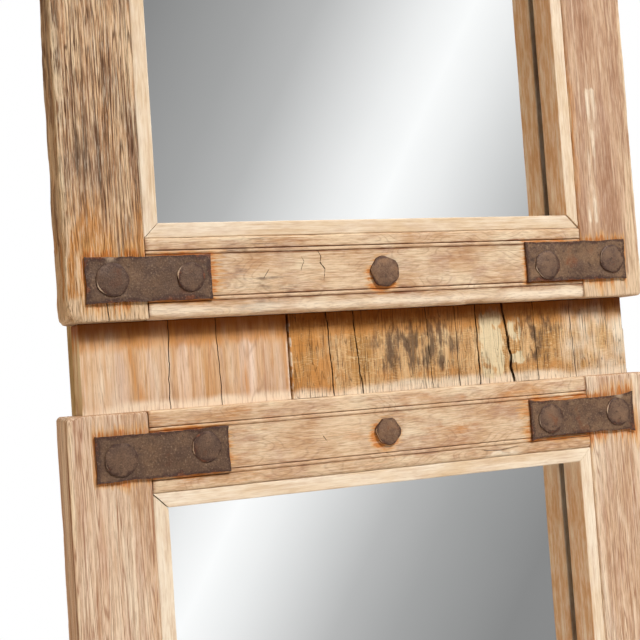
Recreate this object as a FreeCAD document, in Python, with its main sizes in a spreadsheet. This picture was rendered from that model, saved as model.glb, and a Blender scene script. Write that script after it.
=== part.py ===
import FreeCAD, Part
import math
import operator
import os
import types

import Sketcher

# Window mirror: two framed mirrors, one above the other, with a recessed band of boards between.
# Millimetres. +X is right, +Z is up and the front faces -Y. The wall is the plane y = 0 and the
# origin lies on it, midway between the two hooks that the hanger rings hang on.

SIZES = {
    # Frames
    "frame_width": 540,
    "frame_height": 640,
    "frame_depth": 44,
    "frame_gap": 72,
    "lower_shift": 6,
    "stile_width": 65,
    "rail_width": 65,
    "edge_round": 2.5,
    "joint_clearance": 0.1,
    # Beads worked along the rails
    "bead_outer_band": 12.5,
    "bead_inner_band": 9.5,
    "bead_width": 5,
    "quirk_width": 0.9,
    "quirk_depth": 1.4,
    # Tenons, and the rebate that takes the glass
    "tenon_length": 45,
    "tenon_height": 40,
    "tenon_depth": 14,
    "tenon_setback": 12,
    "rebate_width": 10,
    "rebate_depth": 10.5,
    # Liners, glass and back panels
    "liner_width": 12,
    "liner_depth": 28.5,
    "liner_setback": 1.5,
    "liner_chamfer": 1.2,
    "glass_clearance": 1,
    "glass_thickness": 4,
    "panel_thickness": 3,
    "sprig_width": 1.6,
    "sprig_point": 0.8,
    "sprig_length": 16,
    "sprig_bite": 8,
    # Iron straps over the frame joints
    "strap_length": 109,
    "strap_height": 37.5,
    "strap_thickness": 2.5,
    "strap_on_stile": 48.5,
    "strap_snip": 2,
    "strap_chamfer": 0.8,
    "strap_nail_inset": 20,
    # Forged nails
    "strap_nail_diameter": 26.5,
    "centre_nail_diameter": 27,
    "nail_head_height": 3.8,
    "nail_bevel": 2.2,
    "shank_width": 4.2,
    "shank_point": 1.4,
    "shank_length": 28,
    # Boards between the frames
    "spacer_setback": 15,
    "spacer_left_inset": 10.5,
    "spacer_right_inset": 14,
    "left_board_width": 175,
    "board_gap": 2,
    "board_round": 1.2,
    "chip_width": 4,
    "chip_height": 29,
    "chip_depth": 5,
    "loose_tenon_width": 24,
    "loose_tenon_depth": 8,
    "loose_tenon_length": 40,
    # Battens behind the stiles
    "batten_width": 36,
    "batten_depth": 18,
    "batten_inset": 10.5,
    "batten_end_gap": 20,
    "batten_round": 1.5,
    "cut_nail_width": 4,
    "cut_nail_point": 1.6,
    "cut_nail_shank": 34,
    "cut_nail_head": 7.5,
    "cut_nail_head_height": 2,
    "cut_nail_recess": 4,
    # Ring hangers on the back of the upper top rail
    "hanger_inset": 35,
    "hanger_foot_gap": 3,
    "hanger_width": 16,
    "hanger_length": 30,
    "hanger_thickness": 1,
    "hanger_screw_first": 9.5,
    "hanger_screw_second": 25.5,
    "hanger_screw_diameter": 3,
    "hanger_screw_length": 14,
    "hanger_screw_point": 1.2,
    "hanger_head_diameter": 6.4,
    "hanger_head_height": 1.8,
    "hanger_head_bevel": 1.1,
    "ring_wire": 3.5,
    "ring_radius": 12,
    "ring_side": 4,
    "ring_corner": 3,
    "ring_clearance": 0.05,
    "loop_lift": 0.35,
}

# Places along a length, as shares of it
SPRIG_SHARES = (0.15, 0.5, 0.85)
BATTEN_NAIL_SHARES = (0.14, 0.5, 0.86)
SPACER_NAIL_SHARES = (0.3, 0.7)
LOOSE_TENON_SHARES = (0.25, 0.75)

# Flats round a forged nail's head, a drawn wire, and a screw with its hole
HEAD_SIDES = 16
WIRE_SIDES = 8
SCREW_SIDES = 12

OPERATIONS = {"+": operator.add, "-": operator.sub, "*": operator.mul, "/": operator.truediv}


class Size:
    """A length worked out from the sheet: its value, and the expression that gives it."""

    def __init__(self, value, text):
        self.value = float(value)
        self.text = text

    def __add__(self, other):
        return combine(self, "+", other)

    def __radd__(self, other):
        return combine(other, "+", self)

    def __sub__(self, other):
        return combine(self, "-", other)

    def __rsub__(self, other):
        return combine(other, "-", self)

    def __mul__(self, other):
        return combine(self, "*", other)

    def __rmul__(self, other):
        return combine(other, "*", self)

    def __truediv__(self, other):
        return combine(self, "/", other)

    def __neg__(self):
        return combine(0, "-", self)


def as_size(term):
    return term if isinstance(term, Size) else Size(term, repr(float(term)))


def combine(left, sign, right):
    left = as_size(left)
    right = as_size(right)
    return Size(OPERATIONS[sign](left.value, right.value), f"({left.text} {sign} {right.text})")


ZERO = Size(0, "0")

doc = FreeCAD.newDocument("window_mirror")
sheet = doc.addObject("Spreadsheet::Sheet", "Sizes")
s = types.SimpleNamespace()
for row, (alias, value) in enumerate(SIZES.items(), start=1):
    sheet.set(f"A{row}", alias)
    sheet.set(f"B{row}", str(value))
    sheet.setAlias(f"B{row}", alias)
    setattr(s, alias, Size(value, f"Sizes.{alias}"))
doc.recompute()

# Lengths that several pieces share
rail_span = s.frame_width - 2 * s.stile_width
opening_height = s.frame_height - 2 * s.rail_width
nail_on_stile = s.strap_on_stile - s.strap_nail_inset
nail_on_rail = s.strap_length - s.strap_on_stile - s.strap_nail_inset
nail_hole = s.shank_width + 2 * s.joint_clearance
nail_hole_depth = s.shank_length + s.joint_clearance
glass_front = s.frame_depth - s.rebate_depth
panel_back = glass_front + s.glass_thickness + s.panel_thickness
sprig_line = panel_back + s.sprig_width / 2
sprig_hole = s.sprig_width + 2 * s.joint_clearance
sprig_hole_depth = s.sprig_bite + s.joint_clearance
spacer_depth = s.frame_depth - s.spacer_setback
spacer_width = s.frame_width - s.spacer_left_inset - s.spacer_right_inset
right_board_width = spacer_width - s.left_board_width - s.board_gap
loose_tenon_line = spacer_depth / 2
batten_length = 2 * s.frame_height + s.frame_gap - 2 * s.batten_end_gap
cut_nail_hole = s.cut_nail_width + 2 * s.joint_clearance
cut_nail_bite = s.cut_nail_shank - s.batten_depth + s.cut_nail_recess + s.joint_clearance
hanger_hole_radius = s.hanger_screw_diameter / 2 + s.joint_clearance
hanger_bite = s.hanger_screw_length - s.hanger_thickness
ring_height = s.ring_radius + s.ring_side + s.ring_corner
loop_radius = s.ring_wire / 2 + s.ring_clearance
loop_wall_radius = loop_radius + s.hanger_thickness
loop_line = s.loop_lift + loop_wall_radius

# Places of the frames: the raised rings' inner tops meet the hooks at z = 0
frame_back = -s.batten_depth
frame_front = frame_back - s.frame_depth
loop_height = s.ring_wire / 2 - ring_height
hanger_drop = s.rail_width - s.rebate_width - s.hanger_foot_gap - s.hanger_length
upper_top = loop_height + hanger_drop
upper_base = upper_top - s.frame_height
lower_base = upper_base - s.frame_gap - s.frame_height
upper_left = -s.frame_width / 2
lower_left = upper_left - s.lower_shift
FRAMES = {"upper": (upper_left, upper_base), "lower": (lower_left, lower_base)}
batten_base = lower_base + s.batten_end_gap

nodes = []


def bind(target, name, length):
    target.setExpression(name, as_size(length).text)


def place(target, x, y, z):
    bind(target, "Placement.Base.x", x)
    bind(target, "Placement.Base.y", y)
    bind(target, "Placement.Base.z", z)


def new_body(name):
    body = doc.addObject("PartDesign::Body", name)
    body.Label = name
    return body


def finish(piece, x, y, z):
    """Puts a finished piece in its place and lists it for writing."""
    place(piece, x, y, z)
    nodes.append(piece)
    return piece


def sketch_on(body, name, role, offset=ZERO):
    """A sketch on one of the body's own planes, moved along the plane's normal."""
    sketch = body.newObject("Sketcher::SketchObject", f"{body.Name}_{name}")
    plane = next(part for part in body.Origin.OriginFeatures if part.Role == role)
    sketch.AttachmentSupport = (plane, [""])
    sketch.MapMode = "FlatFace"
    bind(sketch, "AttachmentOffset.Base.z", offset)
    return sketch


def fix_point(sketch, element, point, x, y):
    """Ties a point to the sketch's axes, or to its distance from them."""
    for kind, axis, length in (("DistanceX", -2, x), ("DistanceY", -1, y)):
        if length is ZERO:
            sketch.addConstraint(Sketcher.Constraint("PointOnObject", element, point, axis))
            continue
        rule = Sketcher.Constraint(kind, -1, 1, element, point, length.value)
        number = sketch.addConstraint(rule)
        bind(sketch, f"Constraints[{number}]", length)


def fix_radius(sketch, element, radius):
    number = sketch.addConstraint(Sketcher.Constraint("Radius", element, radius.value))
    bind(sketch, f"Constraints[{number}]", radius)


def arc_between(start, end, radius):
    """An anticlockwise arc of up to half a circle."""
    chord = end - start
    rise = math.sqrt(max(radius ** 2 - (chord.Length / 2) ** 2, 0))
    side = FreeCAD.Vector(-chord.y, chord.x, 0).normalize()
    centre = (start + end) / 2 + side * rise
    first = math.atan2(start.y - centre.y, start.x - centre.x)
    last = math.atan2(end.y - centre.y, end.x - centre.x)
    if last < first:
        last += 2 * math.pi
    circle = Part.Circle(centre, FreeCAD.Vector(0, 0, 1), radius)
    return Part.ArcOfCircle(circle, first, last)


def outline(sketch, corners):
    """A closed anticlockwise outline. A corner's third value is the radius of the arc it starts."""
    points = [FreeCAD.Vector(corner[0].value, corner[1].value, 0) for corner in corners]
    count = len(corners)
    for index, corner in enumerate(corners):
        start = points[index]
        end = points[(index + 1) % count]
        if len(corner) > 2:
            sketch.addGeometry(arc_between(start, end, corner[2].value))
        else:
            sketch.addGeometry(Part.LineSegment(start, end))
    for index, corner in enumerate(corners):
        following = (index + 1) % count
        sketch.addConstraint(Sketcher.Constraint("Coincident", index, 2, following, 1))
        fix_point(sketch, index, 1, corner[0], corner[1])
        if len(corner) > 2:
            fix_radius(sketch, index, corner[2])
    return sketch


def rectangle(sketch, left, bottom, width, height):
    right = left + width
    top = bottom + height
    return outline(sketch, [(left, bottom), (right, bottom), (right, top), (left, top)])


def circles(sketch, centres, radius):
    for x, y in centres:
        centre = FreeCAD.Vector(as_size(x).value, as_size(y).value, 0)
        element = sketch.addGeometry(Part.Circle(centre, FreeCAD.Vector(0, 0, 1), radius.value))
        fix_point(sketch, element, 3, x, y)
        fix_radius(sketch, element, radius)
    return sketch


def many_sided(sketch, radius, sides, x=ZERO, y=ZERO):
    """A regular outline with a flat at each side."""
    corners = []
    for side in range(sides):
        turn = math.pi * (2 * side + 1) / sides
        corners.append((x + radius * math.cos(turn), y + radius * math.sin(turn)))
    return outline(sketch, corners)


def squares(body, name, role, centres, width, depth, reverse=False, offset=ZERO):
    """Square holes, one cut for each, round the given centres."""
    for number, (x, y) in enumerate(centres, start=1):
        sketch = sketch_on(body, f"{name}_{number}", role, offset)
        rectangle(sketch, x - width / 2, y - width / 2, width, width)
        pocket(body, sketch, depth, reverse)


def screw_holes(body, centres, depth, reverse=False, offset=ZERO):
    """Holes for the hanger screws, one cut for each, on the plane of the back."""
    for number, (x, y) in enumerate(centres, start=1):
        sketch = sketch_on(body, f"screw_hole_{number}", "XZ_Plane", offset)
        many_sided(sketch, hanger_hole_radius, SCREW_SIDES, x, y)
        pocket(body, sketch, depth, reverse)


def pad(body, sketch, length, reverse=False):
    feature = body.newObject("PartDesign::Pad", f"{sketch.Name}_pad")
    feature.Profile = sketch
    feature.Reversed = reverse
    bind(feature, "Length", length)
    doc.recompute()
    return feature


def pocket(body, sketch, depth, reverse=False):
    """A cut of the given depth, which has to take wood or metal away."""
    before = body.Shape.Volume
    feature = body.newObject("PartDesign::Pocket", f"{sketch.Name}_pocket")
    feature.Profile = sketch
    feature.Reversed = reverse
    bind(feature, "Length", depth)
    doc.recompute()
    if not body.Shape.Volume < before:
        raise ValueError(f"{sketch.Name} cuts nothing")
    return feature


def loft(body, first, last):
    feature = body.newObject("PartDesign::AdditiveLoft", f"{first.Name}_loft")
    feature.Profile = first
    feature.Sections = [last]
    feature.Ruled = True
    doc.recompute()
    return feature


def soften(body, kind, amount_name, amount, chosen):
    """Rounds or chamfers the edges of a body's last feature that the test picks."""
    base = body.Tip
    picked = [f"Edge{n}" for n, edge in enumerate(base.Shape.Edges, start=1) if chosen(edge.BoundBox)]
    feature = body.newObject(f"PartDesign::{kind}", f"{body.Name}_{kind.lower()}")
    feature.Base = (base, picked)
    bind(feature, amount_name, amount)
    doc.recompute()
    return feature


def group(label, master, places):
    """Equal fasteners as separate solids of one node, copied from one master and turned."""
    copies = []
    for x, y, z, turn in places:
        copy = master.Shape.copy()
        spot = FreeCAD.Vector(as_size(x).value, as_size(y).value, as_size(z).value)
        copy.Placement = FreeCAD.Placement(spot, turn)
        copies.append(copy)
    piece = doc.addObject("Part::Feature", label)
    piece.Label = label
    piece.Shape = Part.makeCompound(copies)
    nodes.append(piece)
    return piece


def along(shares, start, length):
    return [start + share * length for share in shares]


def stile(name, on_left, pilots):
    """An upright post: eased front edges, two mortises, a stopped rebate and the nail holes."""
    body = new_body(name)
    width = s.stile_width
    radius = s.edge_round
    profile = sketch_on(body, "profile", "XY_Plane")
    corners = [(radius, ZERO), (width - radius, ZERO, radius), (width, radius)]
    corners += [(width, s.frame_depth), (ZERO, s.frame_depth), (ZERO, radius, radius)]
    pad(body, outline(profile, corners), s.frame_height)

    inner = width if on_left else ZERO
    mortises = sketch_on(body, "mortises", "YZ_Plane", inner)
    foot = (s.rail_width - s.tenon_height) / 2 - s.joint_clearance
    head = s.frame_height - foot - s.tenon_height - 2 * s.joint_clearance
    across = s.tenon_depth + 2 * s.joint_clearance
    tall = s.tenon_height + 2 * s.joint_clearance
    for number, bottom in enumerate((foot, head)):
        if number:
            mortises = sketch_on(body, "upper_mortise", "YZ_Plane", inner)
        rectangle(mortises, s.tenon_setback - s.joint_clearance, bottom, across, tall)
        pocket(body, mortises, s.tenon_length + s.joint_clearance, reverse=not on_left)

    rebate = sketch_on(body, "rebate", "XZ_Plane", -s.frame_depth)
    rebate_left = width - s.rebate_width if on_left else ZERO
    rebate_base = s.rail_width - s.rebate_width
    rectangle(rebate, rebate_left, rebate_base, s.rebate_width, opening_height + 2 * s.rebate_width)
    pocket(body, rebate, s.rebate_depth, reverse=True)

    nail_x = width - nail_on_stile if on_left else nail_on_stile
    nail_rows = (s.rail_width / 2, s.frame_height - s.rail_width / 2)
    nails = [(nail_x, z) for z in nail_rows]
    squares(body, "nail_hole", "XZ_Plane", nails, nail_hole, nail_hole_depth)

    squares(body, "batten_nail", "XZ_Plane", pilots, cut_nail_hole, cut_nail_bite, True, -s.frame_depth)

    wall = width - s.rebate_width if on_left else s.rebate_width
    sprigs = [(sprig_line, z) for z in along(SPRIG_SHARES, s.rail_width, opening_height)]
    squares(body, "sprig_hole", "YZ_Plane", sprigs, sprig_hole, sprig_hole_depth, not on_left, wall)
    return body


def rail_corners(rebate_above):
    """The rail's section: eased edges, two quirked beads on the front, the rebate at the back."""
    depth = s.frame_depth
    width = s.rail_width
    radius = s.edge_round
    shelf = depth - s.rebate_depth
    bead_chord = s.bead_width - 2 * s.quirk_width
    bead_radius = (bead_chord * bead_chord / 4 + s.quirk_depth * s.quirk_depth) / (2 * s.quirk_depth)
    if rebate_above:
        step = width - s.rebate_width
        corners = [(radius, ZERO), (depth, ZERO), (depth, step), (shelf, step), (shelf, width)]
    else:
        step = s.rebate_width
        corners = [(radius, ZERO), (shelf, ZERO), (shelf, step), (depth, step), (depth, width)]
    corners += [(radius, width, radius), (ZERO, width - radius)]
    upper_band = s.bead_inner_band if rebate_above else s.bead_outer_band
    lower_band = s.bead_outer_band if rebate_above else s.bead_inner_band
    for bead_top in (width - upper_band, lower_band + s.bead_width):
        bead_foot = bead_top - s.bead_width
        corners.append((ZERO, bead_top))
        corners.append((s.quirk_depth, bead_top - s.quirk_width, bead_radius))
        corners.append((s.quirk_depth, bead_foot + s.quirk_width))
        corners.append((ZERO, bead_foot))
    corners.append((ZERO, radius, radius))
    return corners


def rail(name, rebate_above):
    """A beaded rail with a tenon at each end, its nail holes and its sprig holes."""
    body = new_body(name)
    section = sketch_on(body, "section", "YZ_Plane", s.tenon_length)
    pad(body, outline(section, rail_corners(rebate_above)), rail_span)
    whole = rail_span + 2 * s.tenon_length
    tenon_foot = (s.rail_width - s.tenon_height) / 2
    tenon = sketch_on(body, "tenons", "YZ_Plane")
    rectangle(tenon, s.tenon_setback, tenon_foot, s.tenon_depth, s.tenon_height)
    pad(body, tenon, whole)

    ends = (s.tenon_length - nail_on_stile, s.tenon_length + nail_on_rail)
    nail_x = list(ends) + [whole / 2] + [whole - x for x in ends]
    nails = [(x, s.rail_width / 2) for x in nail_x]
    squares(body, "nail_hole", "XZ_Plane", nails, nail_hole, nail_hole_depth)

    wall = s.rail_width - s.rebate_width if rebate_above else s.rebate_width
    sprigs = [(x, sprig_line) for x in along(SPRIG_SHARES, s.tenon_length, rail_span)]
    squares(body, "sprig_hole", "XY_Plane", sprigs, sprig_hole, sprig_hole_depth, not rebate_above, wall)
    return body


def loose_mortises(body, places, line, from_below, top=ZERO):
    """Mortises in a lower or an upper face, for the loose tenons of the boards."""
    width = s.loose_tenon_width + 2 * s.joint_clearance
    depth = s.loose_tenon_depth + 2 * s.joint_clearance
    face = "below" if from_below else "above"
    for number, x in enumerate(places, start=1):
        mortise = sketch_on(body, f"mortise_{face}_{number}", "XY_Plane", top)
        rectangle(mortise, x - width / 2, line - depth / 2, width, depth)
        pocket(body, mortise, s.loose_tenon_length / 2 + s.joint_clearance, reverse=from_below)


def liner(name, corners, is_inner_edge):
    """A mitred strip with a small chamfer along its inner front edge."""
    body = new_body(name)
    pad(body, outline(sketch_on(body, "outline", "XZ_Plane"), corners), s.liner_depth, reverse=True)
    soften(body, "Chamfer", "Size", s.liner_chamfer, is_inner_edge)
    return body


def near(first, second):
    return math.isclose(first, second, abs_tol=s.joint_clearance.value / 2)


def liners(prefix, left, base):
    """Four strips that line an opening and meet in mitres."""
    wide = s.liner_width
    long_side = rail_span
    tall_side = opening_height
    x = left + s.stile_width
    y = frame_front + s.liner_setback
    z = base + s.rail_width

    def front_at(box, low, high):
        return near(box.YMin, 0) and near(box.YMax, 0) and near(low, high)

    def inner_top(box):
        return front_at(box, box.ZMin, wide.value) and near(box.ZMax, wide.value)

    def inner_bottom(box):
        return front_at(box, box.ZMin, 0) and near(box.ZMax, 0)

    def inner_right(box):
        return front_at(box, box.XMin, wide.value) and near(box.XMax, wide.value)

    def inner_left(box):
        return front_at(box, box.XMin, 0) and near(box.XMax, 0)

    below = [(ZERO, ZERO), (long_side, ZERO), (long_side - wide, wide), (wide, wide)]
    above = [(wide, ZERO), (long_side - wide, ZERO), (long_side, wide), (ZERO, wide)]
    at_left = [(ZERO, ZERO), (wide, wide), (wide, tall_side - wide), (ZERO, tall_side)]
    at_right = [(ZERO, wide), (wide, ZERO), (wide, tall_side), (ZERO, tall_side - wide)]
    finish(liner(f"{prefix}_bottom_liner", below, inner_top), x, y, z)
    finish(liner(f"{prefix}_top_liner", above, inner_bottom), x, y, z + tall_side - wide)
    finish(liner(f"{prefix}_left_liner", at_left, inner_right), x, y, z)
    finish(liner(f"{prefix}_right_liner", at_right, inner_left), x + long_side - wide, y, z)


def sheet_piece(name, thickness, x, y, z):
    """A plain sheet, such as the glass, that lies in the rebate with a little room round it."""
    piece = doc.addObject("Part::Box", name)
    piece.Label = name
    room = s.rebate_width - s.glass_clearance
    bind(piece, "Length", rail_span + 2 * room)
    bind(piece, "Width", thickness)
    bind(piece, "Height", opening_height + 2 * room)
    finish(piece, x + s.stile_width - room, y, z + s.rail_width - room)


def strap(name):
    """A flat iron strap with snipped corners, a worn front edge and two square nail holes."""
    body = new_body(name)
    snip = s.strap_snip
    length = s.strap_length
    height = s.strap_height
    corners = [(snip, ZERO), (length - snip, ZERO), (length, snip), (length, height - snip)]
    corners += [(length - snip, height), (snip, height), (ZERO, height - snip), (ZERO, snip)]
    pad(body, outline(sketch_on(body, "outline", "XZ_Plane"), corners), s.strap_thickness, reverse=True)

    def front_rim(box):
        return near(box.YMin, 0) and near(box.YMax, 0)

    soften(body, "Chamfer", "Size", s.strap_chamfer, front_rim)
    places = [(x, height / 2) for x in (s.strap_nail_inset, length - s.strap_nail_inset)]
    squares(body, "nail_hole", "XZ_Plane", places, nail_hole, s.strap_thickness)
    return body


def spike(name, point_width, width, length):
    """A square spike, point down, as a smith draws it out."""
    body = new_body(name)
    foot = sketch_on(body, "point", "XY_Plane")
    neck = sketch_on(body, "neck", "XY_Plane", length)
    for sketch, side in ((foot, point_width), (neck, width)):
        rectangle(sketch, -side / 2, -side / 2, side, side)
    loft(body, foot, neck)
    return body


def bevel_end(body, bevel, height):
    """Bevels the rim of a flat end at this height."""

    def rim(box):
        return near(box.ZMin, height.value) and near(box.ZMax, height.value)

    soften(body, "Chamfer", "Size", bevel, rim)


def nail(name, diameter):
    """A forged nail, point down: a tapered square shank under a broad, flat-hammered head."""
    body = spike(name, s.shank_point, s.shank_width, s.shank_length)
    head = sketch_on(body, "head", "XY_Plane", s.shank_length)
    pad(body, many_sided(head, diameter / 2, HEAD_SIDES), s.nail_head_height)
    bevel_end(body, s.nail_bevel, s.shank_length + s.nail_head_height)
    return body


def cut_nail(name):
    """A plain cut nail, point down, with a small square head."""
    body = spike(name, s.cut_nail_point, s.cut_nail_width, s.cut_nail_shank)
    side = s.cut_nail_head
    head = sketch_on(body, "head", "XY_Plane", s.cut_nail_shank)
    pad(body, rectangle(head, -side / 2, -side / 2, side, side), s.cut_nail_head_height)
    return body


def screw(name):
    """A wood screw for the hangers, point down, with a low bevelled head."""
    body = new_body(name)
    shank = sketch_on(body, "shank", "XY_Plane")
    pad(body, many_sided(shank, s.hanger_screw_diameter / 2, SCREW_SIDES), s.hanger_screw_length)
    bevel_end(body, s.hanger_screw_point, ZERO)
    head = sketch_on(body, "head", "XY_Plane", s.hanger_screw_length)
    pad(body, many_sided(head, s.hanger_head_diameter / 2, SCREW_SIDES), s.hanger_head_height)
    bevel_end(body, s.hanger_head_bevel, s.hanger_screw_length + s.hanger_head_height)
    return body


def batten(name, nail_rows):
    """A plain batten with nail holes, sunk at the back so that the heads stay clear of the wall."""
    body = new_body(name)
    radius = s.batten_round
    width = s.batten_width
    profile = sketch_on(body, "profile", "XY_Plane")
    corners = [(radius, ZERO), (width - radius, ZERO, radius), (width, radius)]
    corners += [(width, s.batten_depth), (ZERO, s.batten_depth), (ZERO, radius, radius)]
    pad(body, outline(profile, corners), batten_length)
    places = [(width / 2, z) for z in nail_rows]
    squares(body, "nail_hole", "XZ_Plane", places, cut_nail_hole, s.batten_depth)
    sunk = s.cut_nail_head + 2 * s.joint_clearance
    squares(body, "nail_head", "XZ_Plane", places, sunk, s.cut_nail_recess, True, -s.batten_depth)
    return body


def spacer_board(name, width, nail_places, tenons, chipped):
    """A short board with its grain upright. The right one has lost a sliver from its front corner."""
    body = new_body(name)
    radius = s.board_round
    profile = sketch_on(body, "profile", "XY_Plane")
    corners = [(radius, ZERO), (width - radius, ZERO, radius), (width, radius)]
    corners += [(width, spacer_depth), (ZERO, spacer_depth), (ZERO, radius, radius)]
    pad(body, outline(profile, corners), s.frame_gap)
    if chipped:
        chip = sketch_on(body, "chip", "XZ_Plane")
        foot = (width, s.frame_gap - s.chip_height)
        outline(chip, [foot, (width, s.frame_gap), (width - s.chip_width, s.frame_gap)])
        pocket(body, chip, s.chip_depth)
    loose_mortises(body, tenons, loose_tenon_line, from_below=True)
    loose_mortises(body, tenons, loose_tenon_line, from_below=False, top=s.frame_gap)
    squares(body, "nail_hole", "XZ_Plane", nail_places, cut_nail_hole, cut_nail_bite, True, -spacer_depth)
    return body


def hanger_plate(name):
    """A strip folded round the ring's bar, with a rounded foot and two screw holes."""
    body = new_body(name)
    width = s.hanger_width
    radius = width / 2
    top = s.hanger_length
    outer = sketch_on(body, "outline", "XZ_Plane")
    corners = [(ZERO, radius, radius), (radius, ZERO, radius), (width, radius), (width, top), (ZERO, top)]
    pad(body, outline(outer, corners), s.hanger_thickness, reverse=True)
    barrel = sketch_on(body, "barrel", "YZ_Plane")
    pad(body, circles(barrel, [(loop_line, top)], loop_wall_radius), width)
    bore = sketch_on(body, "bore", "YZ_Plane")
    pocket(body, circles(bore, [(loop_line, top)], loop_radius), width, reverse=True)
    rows = [top - drop for drop in (s.hanger_screw_first, s.hanger_screw_second)]
    screw_holes(body, [(radius, z) for z in rows], s.hanger_thickness)
    return body


def hanger_ring(name):
    """A D-shaped ring of drawn wire: a straight bar, two corners, two sides and a half round."""
    body = new_body(name)
    radius = s.ring_radius
    corner = s.ring_corner
    across = 2 * radius
    shoulder = radius + s.ring_side
    route = sketch_on(body, "route", "XZ_Plane")
    corners = [(ZERO, radius, radius), (radius, ZERO, radius), (across, radius)]
    corners += [(across, shoulder, corner), (across - corner, ring_height), (corner, ring_height, corner)]
    outline(route, corners + [(ZERO, shoulder)])
    wire = sketch_on(body, "wire", "YZ_Plane", radius)
    many_sided(wire, s.ring_wire / 2, WIRE_SIDES, y=ring_height)
    pipe = body.newObject("PartDesign::AdditivePipe", f"{name}_bend")
    pipe.Profile = wire
    pipe.Spine = route
    doc.recompute()
    return body


# Nails through each batten: into the stiles, and into the boards between the frames
stile_rows = along(BATTEN_NAIL_SHARES, ZERO, s.frame_height)
spacer_rows = along(SPACER_NAIL_SHARES, ZERO, s.frame_gap)
batten_rows = [lower_base + z for z in stile_rows]
batten_rows += [lower_base + s.frame_height + z for z in spacer_rows]
batten_rows += [upper_base + z for z in stile_rows]
left_column = upper_left + s.batten_inset + s.batten_width / 2
right_column = -left_column

# The loose tenons stand in the boards and in the rails above and below, clear of every stile
left_board_x = upper_left + s.spacer_left_inset
right_board_x = left_board_x + s.left_board_width + s.board_gap
first_joint = upper_left + s.stile_width
last_joint = lower_left + s.frame_width - s.stile_width
left_tenons = along(LOOSE_TENON_SHARES, first_joint, left_board_x + s.left_board_width - first_joint)
right_tenons = along(LOOSE_TENON_SHARES, right_board_x, last_joint - right_board_x)
tenon_places = left_tenons + right_tenons
tenon_line = s.spacer_setback + loose_tenon_line

hanger_reach = rail_span / 2 - s.hanger_inset
hanger_centres = (-hanger_reach, hanger_reach)
hanger_rows = (loop_height - s.hanger_screw_first, loop_height - s.hanger_screw_second)

strap_nail = nail("strap_nail", s.strap_nail_diameter)
centre_nail = nail("centre_nail", s.centre_nail_diameter)
batten_nail = cut_nail("batten_nail")
hanger_screw = screw("hanger_screw")
sprig = spike("sprig", s.sprig_point, s.sprig_width, s.sprig_length)
loose_tenon = doc.addObject("Part::Box", "loose_tenon")
bind(loose_tenon, "Length", s.loose_tenon_width)
bind(loose_tenon, "Width", s.loose_tenon_depth)
bind(loose_tenon, "Height", s.loose_tenon_length)
doc.recompute()

# Which way a fastener's head points, from its own +Z
HEAD_FORWARD = FreeCAD.Rotation(FreeCAD.Vector(1, 0, 0), 90)
HEAD_BACK = FreeCAD.Rotation(FreeCAD.Vector(1, 0, 0), -90)
HEAD_RIGHT = FreeCAD.Rotation(FreeCAD.Vector(0, 1, 0), 90)
HEAD_LEFT = FreeCAD.Rotation(FreeCAD.Vector(0, 1, 0), -90)
HEAD_UP = FreeCAD.Rotation()
HEAD_DOWN = FreeCAD.Rotation(FreeCAD.Vector(1, 0, 0), 180)

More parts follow.
